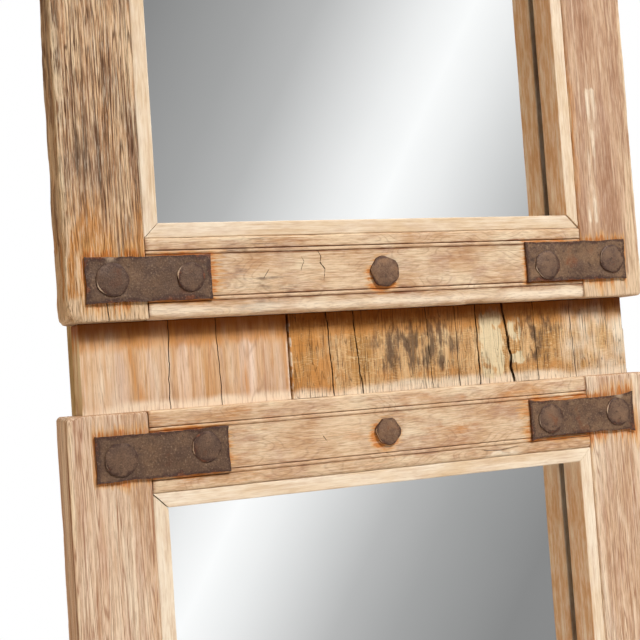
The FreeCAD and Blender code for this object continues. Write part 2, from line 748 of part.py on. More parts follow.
for prefix, (left, base) in FRAMES.items():
    joints = (left + s.stile_width, left + s.frame_width - s.stile_width)
    rail_bases = {"bottom": base, "top": base + s.frame_height - s.rail_width}
    left_pilots = [(left_column - left, z) for z in stile_rows]
    right_stile_x = joints[1]
    right_pilots = [(right_column - right_stile_x, z) for z in stile_rows]
    finish(stile(f"{prefix}_left_stile", True, left_pilots), left, frame_front, base)
    finish(stile(f"{prefix}_right_stile", False, right_pilots), right_stile_x, frame_front, base)

    rail_x = joints[0] - s.tenon_length
    bottom_rail = rail(f"{prefix}_bottom_rail", rebate_above=True)
    top_rail = rail(f"{prefix}_top_rail", rebate_above=False)
    mortise_x = [x - rail_x for x in tenon_places]
    if prefix == "upper":
        loose_mortises(bottom_rail, mortise_x, tenon_line, from_below=True)
        centres = [(x - rail_x, z - rail_bases["top"]) for x in hanger_centres for z in hanger_rows]
        screw_holes(top_rail, centres, hanger_bite + s.joint_clearance, True, -s.frame_depth)
    else:
        loose_mortises(top_rail, mortise_x, tenon_line, from_below=False, top=s.rail_width)
    finish(bottom_rail, rail_x, frame_front, rail_bases["bottom"])
    finish(top_rail, rail_x, frame_front, rail_bases["top"])

    liners(prefix, left, base)
    sheet_piece(f"{prefix}_mirror", s.glass_thickness, left, frame_front + glass_front, base)
    panel_front = frame_front + glass_front + s.glass_thickness
    sheet_piece(f"{prefix}_back_panel", s.panel_thickness, left, panel_front, base)

    nail_seat = frame_front + s.shank_length
    strap_nail_places = []
    for level, rail_base in rail_bases.items():
        middle = rail_base + s.rail_width / 2
        strap_base = middle - s.strap_height / 2
        strap_x = (joints[0] - s.strap_on_stile, joints[1] + s.strap_on_stile - s.strap_length)
        for side, x in zip(("left", "right"), strap_x):
            piece = strap(f"{prefix}_{level}_{side}_strap")
            finish(piece, x, frame_front - s.strap_thickness, strap_base)
        across = (joints[0] - nail_on_stile, joints[0] + nail_on_rail)
        across += (joints[1] - nail_on_rail, joints[1] + nail_on_stile)
        seat = nail_seat - s.strap_thickness
        strap_nail_places += [(x, seat, middle, HEAD_FORWARD) for x in across]
    group(f"{prefix}_strap_nails", strap_nail, strap_nail_places)
    nail_rows = [z + s.rail_width / 2 for z in rail_bases.values()]
    centre = left + s.frame_width / 2
    group(f"{prefix}_centre_nails", centre_nail, [(centre, nail_seat, z, HEAD_FORWARD) for z in nail_rows])

    sprig_y = frame_front + sprig_line
    reach = s.rebate_width + s.sprig_bite
    opening_base = base + s.rail_width
    sprig_places = []
    for z in along(SPRIG_SHARES, opening_base, opening_height):
        sprig_places.append((joints[0] - reach, sprig_y, z, HEAD_RIGHT))
        sprig_places.append((joints[1] + reach, sprig_y, z, HEAD_LEFT))
    for x in along(SPRIG_SHARES, joints[0], rail_span):
        sprig_places.append((x, sprig_y, opening_base - reach, HEAD_UP))
        sprig_places.append((x, sprig_y, opening_base + opening_height + reach, HEAD_DOWN))
    group(f"{prefix}_panel_sprigs", sprig, sprig_places)

board_y = frame_front + s.spacer_setback
left_places = [(left_column - left_board_x, z) for z in spacer_rows]
right_places = [(right_column - right_board_x, z) for z in spacer_rows]
left_holes = [x - left_board_x for x in left_tenons]
right_holes = [x - right_board_x for x in right_tenons]
left_board = spacer_board("left_spacer_board", s.left_board_width, left_places, left_holes, False)
right_board = spacer_board("right_spacer_board", right_board_width, right_places, right_holes, True)
spacer_base = upper_base - s.frame_gap
finish(left_board, left_board_x, board_y, spacer_base)
finish(right_board, right_board_x, board_y, spacer_base)
tenon_feet = [z - s.loose_tenon_length / 2 for z in (spacer_base, upper_base)]
tenon_x = [x - s.loose_tenon_width / 2 for x in tenon_places]
tenon_y = board_y + loose_tenon_line - s.loose_tenon_depth / 2
group("spacer_tenons", loose_tenon, [(x, tenon_y, z, HEAD_UP) for x in tenon_x for z in tenon_feet])

nail_rows = [z - batten_base for z in batten_rows]
finish(batten("left_batten", nail_rows), left_column - s.batten_width / 2, frame_back, batten_base)
finish(batten("right_batten", nail_rows), right_column - s.batten_width / 2, frame_back, batten_base)
nail_point = -s.cut_nail_recess - s.cut_nail_shank
columns = (left_column, right_column)
group("batten_nails", batten_nail, [(x, nail_point, z, HEAD_BACK) for x in columns for z in batten_rows])

hanger_screw_places = []
for side, x in zip(("left", "right"), hanger_centres):
    plate_base = loop_height - s.hanger_length
    finish(hanger_plate(f"{side}_hanger_plate"), x - s.hanger_width / 2, frame_back, plate_base)
    ring = hanger_ring(f"{side}_hanger_ring")
    finish(ring, x - s.ring_radius, frame_back + loop_line, loop_height - ring_height)
    screw_start = frame_back - hanger_bite
    hanger_screw_places += [(x, screw_start, z, HEAD_BACK) for z in hanger_rows]
group("hanger_screws", hanger_screw, hanger_screw_places)

doc.recompute()
for item in doc.Objects:
    if "Invalid" in item.State or "Error" in item.State:
        raise ValueError(f"{item.Name} did not build: {item.State}")
for node in nodes:
    if node.Shape.isNull() or not node.Shape.isValid():
        raise ValueError(f"{node.Label} has no valid shape")

os.makedirs("parts", exist_ok=True)
for node in nodes:
    node.Shape.exportStep(f"parts/{node.Label}.step")
print(f"{len(nodes)} pieces written")
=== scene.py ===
import random
from math import atan2, cos, exp, hypot, pi, radians, sin

import bmesh
import bpy
from mathutils import Euler, Matrix, Vector, noise


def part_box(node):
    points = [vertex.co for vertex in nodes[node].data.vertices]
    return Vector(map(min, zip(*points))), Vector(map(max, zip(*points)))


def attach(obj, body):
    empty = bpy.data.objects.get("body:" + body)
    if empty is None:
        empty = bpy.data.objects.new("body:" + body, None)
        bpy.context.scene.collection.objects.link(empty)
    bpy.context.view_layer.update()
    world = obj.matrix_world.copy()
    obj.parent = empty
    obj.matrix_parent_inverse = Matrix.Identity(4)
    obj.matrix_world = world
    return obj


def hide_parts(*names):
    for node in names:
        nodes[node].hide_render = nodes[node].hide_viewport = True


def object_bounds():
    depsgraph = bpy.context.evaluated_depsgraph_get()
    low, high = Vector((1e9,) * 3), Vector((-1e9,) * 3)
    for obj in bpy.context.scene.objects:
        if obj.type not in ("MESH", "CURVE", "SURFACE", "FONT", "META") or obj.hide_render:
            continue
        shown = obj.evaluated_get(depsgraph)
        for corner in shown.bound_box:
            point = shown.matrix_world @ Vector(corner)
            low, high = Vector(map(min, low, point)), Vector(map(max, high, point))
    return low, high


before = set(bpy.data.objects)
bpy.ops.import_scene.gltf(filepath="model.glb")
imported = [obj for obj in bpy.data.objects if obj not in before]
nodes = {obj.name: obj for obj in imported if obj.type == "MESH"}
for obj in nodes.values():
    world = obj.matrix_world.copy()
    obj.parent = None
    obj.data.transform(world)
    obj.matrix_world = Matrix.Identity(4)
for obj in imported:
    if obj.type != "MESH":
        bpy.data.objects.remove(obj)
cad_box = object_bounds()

# Window mirror: two reclaimed-wood frames with iron corner straps, pale liners and silvered
# glass, and a recessed band of short boards between them. Metres, in the frame of the solids.

MM = 0.001
# Points closer than this are one point
MERGE = 1e-6
LEVELS = ("upper", "lower")


def linear(code, share=1.0):
    """An sRGB hex colour as linear RGB, with the share it covers."""
    parts = [int(code[k:k + 2], 16) / 255 for k in (1, 3, 5)]
    return [c / 12.92 if c <= 0.04045 else ((c + 0.055) / 1.055) ** 2.4 for c in parts] + [share]


def add(tree, kind, inputs=None, out=0, stops=(), **settings):
    """Adds a node with its settings, fills or links its sockets, and gives back the output asked for."""
    item = tree.nodes.new("ShaderNode" + kind)
    for name, value in settings.items():
        setattr(item, name, value)
    for number, (place, colour) in enumerate(stops):
        ramp = item.color_ramp.elements
        stop = ramp[number] if number < len(ramp) else ramp.new(place)
        stop.position = place
        stop.color = colour
    for name, value in (inputs or {}).items():
        if isinstance(value, bpy.types.NodeSocket):
            tree.links.new(value, item.inputs[name])
        else:
            item.inputs[name].default_value = value
    return item.outputs[out] if item.outputs else None


def lines(code, share, places, half):
    """Stops of a coat that draws thin lines where its noise passes these places."""
    stops = []
    for place in places:
        stops += [(place - half, code, 0.0), (place, code, share), (place + half, code, 0.0)]
    return stops


def ground(dark, middle, pale):
    """Stops of a coat that covers all of the surface."""
    return (0.36, dark, 1), (0.5, middle, 1), (0.64, pale, 1)


def smears(code, share, begin=0.5, full=0.66):
    """Stops of a coat that shows only where its noise is high."""
    return (begin, code, 0), (full, code, share)


# Noise values of a coat in two tones: where the dark is full and ends, where the pale begins and is full.
# Pores are drawn about 1 mm wide, coarser than the real ones, so that they show.
GRAIN = (0.34, 0.46, 0.55, 0.68)
PORES = (0.37, 0.49, 0.52, 0.64)
SCALE = (0.32, 0.44, 0.56, 0.7)


def tones(dark, dark_share, pale, pale_share, places=GRAIN):
    """Stops of a coat that darkens where its noise is low and pales where it is high."""
    return tuple(zip(places, (dark, dark, pale, pale), (dark_share, 0, 0, pale_share)))


# How far the noise of each coat is shifted from the last one's, so that no two coats match
COAT_SHIFT = (1.7, 2.9, 4.3)
# How squarely a face looks along the grain where end grain begins and is full, and how much it covers
END_BEGINS, END_FULL, END_SHARE = 0.8, 0.95, 0.6
# Noise values between which the roughness goes from its first value to its second
MATT_BEGINS, MATT_FULL = 0.3, 0.7
# Height of a coat that rises by 1, and how far a split cuts in against that
RISE_HEIGHT = 0.6 * MM
SPLIT_RISE = -2.0


def finish(name, coats, grain=None, marks=(), over=1, ends=None, relief=0.0, matt=(0.7, 0.6), **shader):
    """A surface built up of coats of colour, with the marks that wear has left under the last of them.

    over says how many coats lie over the marks, and ends is the colour of the end grain.
    Each coat is laid by noise: the length and width of its patches in millimetres, how much it
    stands up (below 0, how deep its lines cut in), and stops of noise value, colour and share
    covered. Each mark follows a layer of the mesh: its colour, how ragged it is, the value of the
    layer where it begins and where it is full, and how thick it lies.
    """
    material = bpy.data.materials.new(name)
    material.use_nodes = True
    tree = material.node_tree
    tree.nodes.clear()
    place = add(tree, "TexCoord", out="Object")
    axis = 2 if grain == "upright" else 0
    colour = height = None
    noises = []
    for number, (long, wide, rise, stops) in enumerate(coats):
        if marks and number == len(coats) - over:
            ragged = add(tree, "Math", {0: noises[1], 1: noises[2]}, operation="ADD")
            for layer, code, rag, low, high, most in marks:
                mark = add(tree, "Attribute", out="Fac", attribute_name=layer)
                edge = add(tree, "Math", {0: ragged, 1: rag, 2: mark}, operation="MULTIPLY_ADD")
                # The two noises add up to 1 on average
                share = add(tree, "MapRange", {0: edge, 1: low + rag, 2: high + rag, 3: 0.0, 4: most},
                            interpolation_type="SMOOTHSTEP")
                colour = add(tree, "Mix", {0: share, 6: colour, 7: linear(code)}, 2, data_type="RGBA")
                if layer == "split":
                    height = add(tree, "Math", {0: share, 1: SPLIT_RISE, 2: height}, operation="MULTIPLY_ADD")
        patch = [wide, wide, wide]
        if grain:
            patch[axis] = long
        spot = add(tree, "Mapping", {"Vector": place, "Location": [shift * number for shift in COAT_SHIFT],
                                     "Scale": [1 / (size * MM) for size in patch]})
        patches = add(tree, "TexNoise", {"Vector": spot, "Scale": 1.0, "Detail": 1.0 if rise < 0 else 4.0,
                                         "Roughness": 0.62})
        noises.append(patches)
        ramp = [(value, linear(code, share)) for value, code, share in stops]
        laid = add(tree, "ValToRGB", {"Fac": patches}, stops=ramp)
        cover = laid.node.outputs["Alpha"]
        if number:
            laid = add(tree, "Mix", {0: cover, 6: colour, 7: laid}, 2, data_type="RGBA")
        colour = laid
        if rise:
            step = {0: patches if rise > 0 else cover, 1: rise, 2: height or 0.0}
            height = add(tree, "Math", step, operation="MULTIPLY_ADD")
    if ends:
        facing = add(tree, "TexCoord", out="Normal")
        along = add(tree, "SeparateXYZ", {0: facing}, axis)
        squarely = add(tree, "Math", {0: along}, operation="ABSOLUTE")
        share = add(tree, "MapRange", {0: squarely, 1: END_BEGINS, 2: END_FULL, 3: 0.0, 4: END_SHARE})
        colour = add(tree, "Mix", {0: share, 6: colour, 7: linear(ends)}, 2, data_type="RGBA")
    shader["Base Color"] = colour
    matt_range = {0: noises[0], 1: MATT_BEGINS, 2: MATT_FULL, 3: matt[0], 4: matt[1]}
    shader["Roughness"] = add(tree, "MapRange", matt_range)
    if relief:
        shader["Normal"] = add(tree, "Bump", {"Height": height, "Strength": relief, "Distance": RISE_HEIGHT})
    add(tree, "OutputMaterial", {"Surface": add(tree, "BsdfPrincipled", shader)})
    return material


# How far from the iron or from an edge its mark is measured, in millimetres
RUST_REACH = 40
EDGE_REACH = 20
# Marks on the wood, in the order in which they came. Grime also paints shade and shadow, amber warm shade,
# and dust bounce light
WOOD_MARKS = (("amber_and_warm_shade", "#cb8d4a", 1.1, 0.3, 0.8, 0.75), ("weather", "#57453a", 1.2, 0.4, 0.85, 0.8),
              ("bare", "#e4cbab", 1.2, 0.35, 0.7, 0.8), ("dust_and_bounce_light", "#f6e9d4", 0.3, 0.2, 0.85, 0.85),
              ("paint", "#ebdcb8", 1.0, 0.35, 0.6, 0.9), ("edge", "#ecd8b8", 0.9, 0.82, 0.98, 0.75),
              ("grime_and_shade", "#773b00", 0.5, 0.2, 0.95, 0.92), ("rust", "#dba76b", 0.6, 0.86, 0.98, 0.7),
              ("rust", "#c87a36", 0.35, 0.955, 1.0, 0.85), ("split", "#2a190c", 0.25, 0.9, 0.97, 0.95))
WOOD = {"marks": WOOD_MARKS, "Specular IOR Level": 0.12}

# Weathered teak: brown furrows between cream ridges, greyed by weather, so it looks combed and dry
old_teak = finish("weathered_teak", (
    (90, 16, 0.2, ground("#a97f5c", "#c49b75", "#dcbc98")),
    (60, 10, 0.3, smears("#957561", 0.65, 0.48, 0.64)),
    (110, 1.35, 1.0, ((0.36, "#5b3d2a", 0.85), (0.47, "#775541", 0.12),
                      (0.5, "#ecd6b4", 0), (0.64, "#f0dcbd", 0.62))),
    (190, 5, -0.9, lines("#4a2d1e", 0.85, (0.42, 0.5, 0.58), 0.014)),
    (14, 1.1, 0.5, tones("#4a2f1f", 0.5, "#f8ead4", 0.35, PORES))),
    "upright", ends="#8a6440", relief=1.0, matt=(0.84, 0.68), **WOOD)
# Brown teak: planed and worn smooth, pinkish, with pale sapwood streaks
brown_teak = finish("worn_brown_teak", (
    (200, 20, 0.2, ground("#a88168", "#bd987c", "#d2b396")),
    (60, 8, 0.3, smears("#b18d7a", 0.6)),
    (150, 2.4, 0.7, tones("#977154", 0.6, "#ead6be", 0.65)),
    (300, 14, -0.3, lines("#9c7256", 0.4, (0.4, 0.46, 0.52, 0.58), 0.012)),
    (14, 1.1, 0.4, tones("#6b4830", 0.3, "#faecd8", 0.2, PORES))),
    "upright", ends="#9a7350", over=2, relief=0.6, matt=(0.76, 0.6), **WOOD)
# Honey-coloured teak of the rails: pale, worn smooth, with pinkish smears and fine dark figure
honey_teak = finish("honey_teak", (
    (50, 22, 0.2, ground("#c59e79", "#d7b998", "#e4cfb1")),
    (24, 11, 0.3, smears("#bb9881", 0.7, 0.48, 0.64)),
    (120, 1.3, 0.6, tones("#a87f5c", 0.3, "#f0e0c8", 0.26)),
    (75, 22, -0.3, lines("#8e6247", 0.34, (0.36, 0.42, 0.48, 0.53, 0.6), 0.01)),
    (10, 1.0, 0.4, tones("#7d5638", 0.28, "#fff4e2", 0.22, PORES))),
    "level", ends="#a87c50", relief=0.55, matt=(0.74, 0.58), **WOOD)
# Tan teak of the lower stiles: pale, with pinkish-brown growth lines along the post
tan_teak = finish("tan_teak", (
    (180, 18, 0.2, ground("#cfad8d", "#ddc1a6", "#ebd9c1")),
    (60, 7, 0.3, smears("#c59f89", 0.6)),
    (150, 2.4, 0.8, tones("#a87b58", 0.7, "#f4e4cc", 0.65)),
    (300, 8, -0.5, lines("#98694f", 0.75, (0.38, 0.43, 0.48, 0.53, 0.58), 0.013)),
    (14, 1.1, 0.4, tones("#7d5638", 0.32, "#fff4e2", 0.22, PORES))),
    "upright", ends="#a87c50", over=2, relief=0.65, matt=(0.76, 0.6), **WOOD)
# Bare whitewood of the liner strips: sawn and planed, cream, with hardly any figure
WHITEWOOD = (
    (70, 18, 0.2, ground("#e0c8a8", "#ead8bf", "#f1e4d0")),
    (30, 9, 0.2, smears("#dac2aa", 0.7, 0.5, 0.68)),
    (70, 2.2, 0.5, tones("#cbaa84", 0.5, "#f9efe0", 0.5)),
    (14, 1.1, 0.4, tones("#a58058", 0.18, "#fffaf0", 0.18, PORES)))
upright_whitewood = finish("upright_whitewood", WHITEWOOD, "upright", ends="#c9a473", relief=0.3, **WOOD)
level_whitewood = finish("level_whitewood", WHITEWOOD, "level", ends="#c9a473", relief=0.3, **WOOD)
# Planed teak of the left board: smooth and pinkish tan, streaked with orange
pink_teak = finish("planed_pink_teak", (
    (400, 24, 0.2, ((0.36, "#c89a68", 1), (0.5, "#ddbb99", 1), (0.62, "#efdac9", 1))),
    (90, 12, 0.2, smears("#cdb3a2", 0.7)),
    (160, 2.6, 0.6, tones("#b4845c", 0.6, "#f2dfcb", 0.55, (0.33, *GRAIN[1:]))),
    (160, 9, 0.0, smears("#c98b52", 0.5, 0.56, 0.68)),
    (300, 30, -0.3, lines("#8f6244", 0.3, (0.4, 0.5, 0.6), 0.008)),
    (14, 1.1, 0.4, ((0.37, "#8d5f3c", 0.3), (0.49, "#8d5f3c", 0)))),
    "upright", ends="#a87c50", over=2, relief=0.55, matt=(0.76, 0.6), **WOOD)
# Weathered teak of the right board: ochre and rough, crackled along and across
ochre_teak = finish("weathered_ochre_teak", (
    (90, 26, 0.2, ground("#c39359", "#d8ac79", "#e4c79d")),
    (12, 5, 0.3, smears("#a37c58", 0.6)),
    (50, 1.9, 1.0, ((0.34, "#6d4a2c", 0.65), (0.46, "#805a38", 0.05),
                    (0.54, "#ecd2a8", 0), (0.68, "#ecd2a8", 0.7))),
    (5, 30, -0.4, lines("#ecd0a0", 0.6, (0.42, 0.51, 0.6), 0.018)),
    (80, 5, -1.0, lines("#37200f", 0.62, (0.42, 0.56), 0.01)),
    (30, 1.1, 0.6, ((0.35, "#3d2411", 0.6), (0.45, "#3d2411", 0)))),
    "upright", ends="#8a6234", over=2, relief=1.0, matt=(0.86, 0.7), **WOOD)
# Rough sawn softwood of the battens: dull yellow-brown, with furry saw lines
sawn_softwood = finish("sawn_softwood", (
    (70, 20, 0.2, ground("#a98d5f", "#b99d70", "#cbb287")),
    (30, 9, 0.3, smears("#9d8257", 0.5)),
    (40, 2.2, 0.8, tones("#7f6338", 0.55, "#dcc69b", 0.5)),
    (12, 1.1, 0.4, tones("#5d4520", 0.35, "#f0e2c2", 0.2, PORES))),
    "upright", ends="#8a6d42", relief=0.8, matt=(0.84, 0.7), **WOOD)
# Thin plywood: sanded, with the wide calm figure of a peeled sheet
plywood = finish("plywood_sheet", (
    (200, 40, 0.2, ground("#c29d70", "#cdab80", "#d8bb93")),
    (80, 14, 0.2, smears("#bf9a70", 0.5)),
    (60, 2.4, 0.4, tones("#ab8454", 0.4, "#e3cba6", 0.4)),
    (420, 60, -0.2, lines("#a0764a", 0.55, (0.34, 0.39, 0.44, 0.49, 0.54, 0.59, 0.64), 0.008)),
    (12, 1.1, 0.3, tones("#7d5c34", 0.25, "#fff2dc", 0.2, PORES))),
    "upright", ends="#9c7748", relief=0.3, matt=(0.74, 0.62), **WOOD)
# Forged iron gone brown: mottled scale with a dull sheen, maroon at its edges, bright where it is rubbed,
# which also paints highlights on nail rims and strap edges
IRON_MARKS = (("soot", "#4d372b", 0.8, 0.1, 0.9, 0.8), ("edge", "#3f241b", 0.5, 0.76, 0.9, 0.85),
              ("edge", "#93502a", 1.0, 0.95, 1.15, 0.5), ("wear", "#d0b79c", 0.6, 0.35, 0.8, 0.9))
IRON = {"marks": IRON_MARKS, "relief": 0.7, "matt": (0.5, 0.68), "Metallic": 0.25}
strap_iron = finish("rusted_strap_iron", (
    (18, 18, 0.2, ((0.36, "#644b3b", 1), (0.62, "#87684d", 1))),
    (6, 6, 0.8, tones("#3f2b23", 0.7, "#a68867", 0.55, SCALE)),
    (26, 26, 0.0, smears("#8d4d27", 0.6, 0.6, 0.7)),
    (1.5, 1.5, 0.8, ((0.3, "#32211b", 0.5), (0.5, "#32211b", 0), (0.72, "#c8aa8c", 0.4)))),
    **IRON)
nail_iron = finish("rusted_nail_iron", (
    (14, 14, 0.2, ((0.36, "#6f5340", 1), (0.62, "#8b694d", 1))),
    (5, 5, 0.8, tones("#46322a", 0.6, "#a98b73", 0.45, SCALE)),
    (20, 20, 0.0, smears("#96552b", 0.5, 0.6, 0.7)),
    (1.3, 1.3, 0.8, ((0.3, "#3a271e", 0.45), (0.5, "#3a271e", 0), (0.72, "#c6a88a", 0.3)))),
    **IRON)
# The same iron on the heads of the strap nails, which are darker than the straps
head_iron = finish("dark_nail_iron", (
    (12, 12, 0.2, ((0.36, "#654d3f", 1), (0.62, "#886a53", 1))),
    (5, 5, 0.8, tones("#38271f", 0.6, "#95785f", 0.45, SCALE)),
    (18, 18, 0.0, smears("#8f4f28", 0.6, 0.58, 0.68)),
    (1.3, 1.3, 0.8, ((0.3, "#2c1d17", 0.45), (0.5, "#2c1d17", 0), (0.72, "#b8997c", 0.3)))),
    **IRON)
# Bright steel of nails and sprigs, with a dull bloom
plain_steel = finish("bright_steel", (
    (4, 4, 0.0, ((0.35, "#5f5a54", 1), (0.65, "#8d8a84", 1))),
    (0.8, 0.8, 1.0, ((0.4, "#47423c", 0.3), (0.6, "#47423c", 0)))),
    relief=0.2, matt=(0.56, 0.38), Metallic=1.0)
# Zinc plating: pale grey, cloudy, faintly spangled
zinc_steel = finish("zinc_plated_steel", (
    (7, 7, 0.0, ((0.35, "#8c9092", 1), (0.65, "#b4b7b8", 1))),
    (1.2, 1.2, 1.0, ((0.4, "#767b7e", 0.3), (0.6, "#c8cbcc", 0.2)))),
    relief=0.12, matt=(0.46, 0.26), Metallic=1.0)
# Silvered glass: a near perfect reflection, a touch grey, with the faintest clouding
mirror_glass = finish("silvered_glass", (
    (240, 240, 0.0, ((0.3, "#f3f5f5", 1), (0.7, "#f8f9f9", 1))),), matt=(0.012, 0.006), Metallic=1.0)
# Matt white floor with a faint cloud in it
floor_white = finish("matt_white_floor", (
    (300, 300, 0.0, ((0.3, "#f0eeeb", 1), (0.7, "#f6f4f2", 1))),), matt=(0.85, 0.75))


def block(low, high, cells, rims=()):
    """A box cut into cells along X, Y and Z, with closer loops at the given distances from every face."""
    bm = bmesh.new()
    bmesh.ops.create_cube(bm, size=1)
    size = high - low
    bmesh.ops.scale(bm, vec=size, verts=bm.verts)
    bmesh.ops.translate(bm, vec=(low + high) / 2, verts=bm.verts)
    for axis in range(3):
        count = int(round(size[axis] / cells[axis]))
        if count < 2:
            continue
        rows = [e for e in bm.edges if abs(e.verts[0].co[axis] - e.verts[1].co[axis]) > MERGE]
        bmesh.ops.subdivide_edges(bm, edges=rows, cuts=count - 1, use_grid_fill=True)
    for axis in range(3):
        for rim in rims:
            slice_at(bm, axis, low[axis] + rim)
            slice_at(bm, axis, high[axis] - rim)
    return bm


def slice_at(bm, axis, spot):
    """One more loop of edges round the piece, square to an axis."""
    normal = Vector((0, 0, 0))
    normal[axis] = 1
    slice_through(bm, normal * spot, normal)


def slice_through(bm, centre, normal, cut_off=False):
    """A loop of edges where a plane meets the piece. What lies beyond the plane can be cut off."""
    geometry = bm.verts[:] + bm.edges[:] + bm.faces[:]
    return bmesh.ops.bisect_plane(bm, geom=geometry, dist=MERGE, plane_co=centre, plane_no=normal,
                                  clear_outer=cut_off)


def bar(profile, low, high, step):
    """A length of moulding along X: its (y, z) profile, filled, drawn out and cut into short lengths."""
    bm = bmesh.new()
    points = [bm.verts.new((low, y, z)) for y, z in profile]
    edges = [bm.edges.new((points[k - 1], points[k])) for k in range(len(points))]
    bmesh.ops.edgeloop_fill(bm, edges=edges)
    drawn = bmesh.ops.extrude_face_region(bm, geom=bm.faces[:])
    moved = [item for item in drawn["geom"] if isinstance(item, bmesh.types.BMVert)]
    bmesh.ops.translate(bm, vec=(high - low, 0, 0), verts=moved)
    rows = [e for e in bm.edges if abs(e.verts[0].co.x - e.verts[1].co.x) > MERGE]
    bmesh.ops.subdivide_edges(bm, edges=rows, cuts=int((high - low) / step), use_grid_fill=True)
    bmesh.ops.recalc_face_normals(bm, faces=bm.faces)
    return bm


def wander(point, sizes, seed):
    """A slow wander from about -1 to 1, over patches of the given sizes in millimetres."""
    spot = Vector([point[k] / (sizes[k] * MM) + seed * (1 + 0.3 * k) for k in range(3)])
    return noise.fractal(spot, 0.7, 2.0, 3)


def speckle(x, y, z):
    """Noise from about -1 to 1."""
    return noise.noise(Vector((x, y, z)))


def round_off(bm, low, high, radius):
    """Wears the corners of a box round. radius(point) says how far, and may differ from place to place."""
    for vert in bm.verts:
        r = radius(vert.co)
        core = Vector([min(max(vert.co[k], low[k] + r), high[k] - r) for k in range(3)])
        out = vert.co - core
        if out.length > r:
            vert.co = core + out.normalized() * r


def marks_on(bm, layer):
    """The layer of the piece that holds a mark, made where there is none yet."""
    return bm.verts.layers.float.get(layer) or bm.verts.layers.float.new(layer)


def paint(bm, layer, rule):
    """Writes a mark on the piece for its finish to read, from 0 to 1."""
    marks = marks_on(bm, layer)
    for vert in bm.verts:
        vert[marks] = min(max(vert[marks], rule(vert.co)), 1)


def nearness(gap, reach):
    """1 at a place, falling evenly to 0 at the mark's reach in millimetres."""
    return max(1 - gap / (reach * MM), 0)


def around(place, middle, reach):
    """1 at a middle given in millimetres, falling evenly to 0 at the reach on both sides."""
    return nearness(abs(place - middle * MM), reach)


def from_line(point, first, last):
    """How far a point of the front lies from the line between two others, each given as (x, z)."""
    start = Vector(first)
    way = Vector(last) - start
    spot = Vector((point.x, point.z)) - start
    share = min(max(spot.dot(way) / way.length_squared, 0), 1)
    return (spot - way * share).length


# How far back from a front the wood moves with a split, and is furrowed on a board
SKIN = 1.6 * MM
# Within this many millimetres a point is on a split's line, and so far off the wood sways along with it
ON_LINE = 0.12
SWAY_REACH = 6
# The marks of a split's line and of its lips, and how far out the lips go, as a share of its width
LINE_MARK, LIP_MARK, LIP_SHARE = 1, 0.94, 0.55


def cleave(bm, front, splits, seed):
    """Cuts splits into a front: (x, z) of their two ends, width and depth, in millimetres."""
    for top, foot, wide, _ in splits:
        way = Vector((foot[0] - top[0], 0, foot[1] - top[1]))
        normal = Vector((-way.z, 0, way.x)).normalized()
        for shift in (-0.5, 0, 0.5):
            slice_through(bm, (Vector((top[0], 0, top[1])) + normal * wide * shift) * MM, normal)
    dark = marks_on(bm, "split")
    for vert in bm.verts:
        co = vert.co
        if co.y > front + SKIN:
            continue
        spot = Vector((co.x, co.z)) / MM
        for top, foot, wide, deep in splits:
            way = Vector(foot) - Vector(top)
            share = (spot - Vector(top)).dot(way) / way.length_squared
            off = abs((spot - Vector(top)).cross(way)) / way.length
            if not -0.01 < share < 1.01:
                continue
            # The wood round a split sways with it, so that it wanders
            sway = (0.5 + 0.6 * wide) * speckle(spot.y * 0.09, top[0], seed)
            sway += 0.4 * speckle(spot.y * 0.33, top[0], seed + 2)
            co.x += sway * max(1 - off / SWAY_REACH, 0) * MM
            if off < ON_LINE:
                uneven = 0.6 + 0.4 * speckle(spot.y * 0.12, top[0] * 0.05, seed)
                co.y += deep * MM * uneven
                vert[dark] = LINE_MARK
            elif off < LIP_SHARE * wide:
                vert[dark] = max(vert[dark], LIP_MARK)


def put(name, data):
    """An object of that name in the scene, at the origin."""
    item = bpy.data.objects.new(name, data)
    bpy.context.scene.collection.objects.link(item)
    return item


def settle(bm, name, material, stands_for, angle=38):
    """Makes the finished piece: merged, facing outwards, on the mirror and standing for its nodes."""
    bmesh.ops.remove_doubles(bm, verts=bm.verts, dist=MERGE)
    bmesh.ops.recalc_face_normals(bm, faces=bm.faces)
    mesh = bpy.data.meshes.new(name)
    bm.to_mesh(mesh)
    bm.free()
    for polygon in mesh.polygons:
        polygon.use_smooth = True
    mesh.set_sharp_from_angle(angle=radians(angle))
    mesh.materials.append(material)
    piece = put(name, mesh)
    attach(piece, "mirror")
    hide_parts(*stands_for)


# The straps as they were cut and nailed by hand: how far each end and the whole strap lie from
# the drawn place, then the two nails, left to right, as shift, lift and head radius, in millimetres.
# Then how far its rust has run into the wood, how sooty it is, and how far its long edges are drawn in.
STRAPS = {"upper_bottom_left": (-1.2, -7.0, 0.0, (0.5, 0.0, 13.4), (-5.0, 0.0, 11.9), 0.9, 0.62, 0.7),
          "upper_bottom_right": (-0.6, -1.5, 2.3, (1.2, -1.0, 13.2), (2.5, 2.4, 13.3), 0.7, 0.15, 1.0),
          "lower_top_left": (4.6, 4.4, -2.4, (4.5, -3.4, 13.4), (4.7, 0.7, 12.4), 0.6, 0.6, 0.8),
          "lower_top_right": (-2.7, 0.4, -2.9, (-1.6, -2.8, 13.2), (2.0, -1.9, 12.9), 0.85, 0.2, 2.8),
          "upper_top_left": (0.8, -1.6, 1.0, (0.0, 0.6, 13.2), (-1.0, 1.0, 12.6), 0.8, 0.3, 1.2),
          "upper_top_right": (1.2, 0.6, -1.4, (0.6, -1.0, 12.8), (0.0, -1.8, 13.2), 1.0, 0.5, 0.8),
          "lower_bottom_left": (-0.6, 1.8, 1.6, (-0.4, 1.2, 12.7), (1.4, 2.0, 13.3), 1.0, 0.2, 1.5),
          "lower_bottom_right": (-1.8, -0.8, 0.6, (-1.4, 0.0, 13.3), (-0.6, 0.9, 12.5), 0.8, 0.4, 1.0)}
NAIL_INSET = 20 * MM
strap_boxes = {}
nail_spots = {level: [] for level in LEVELS}
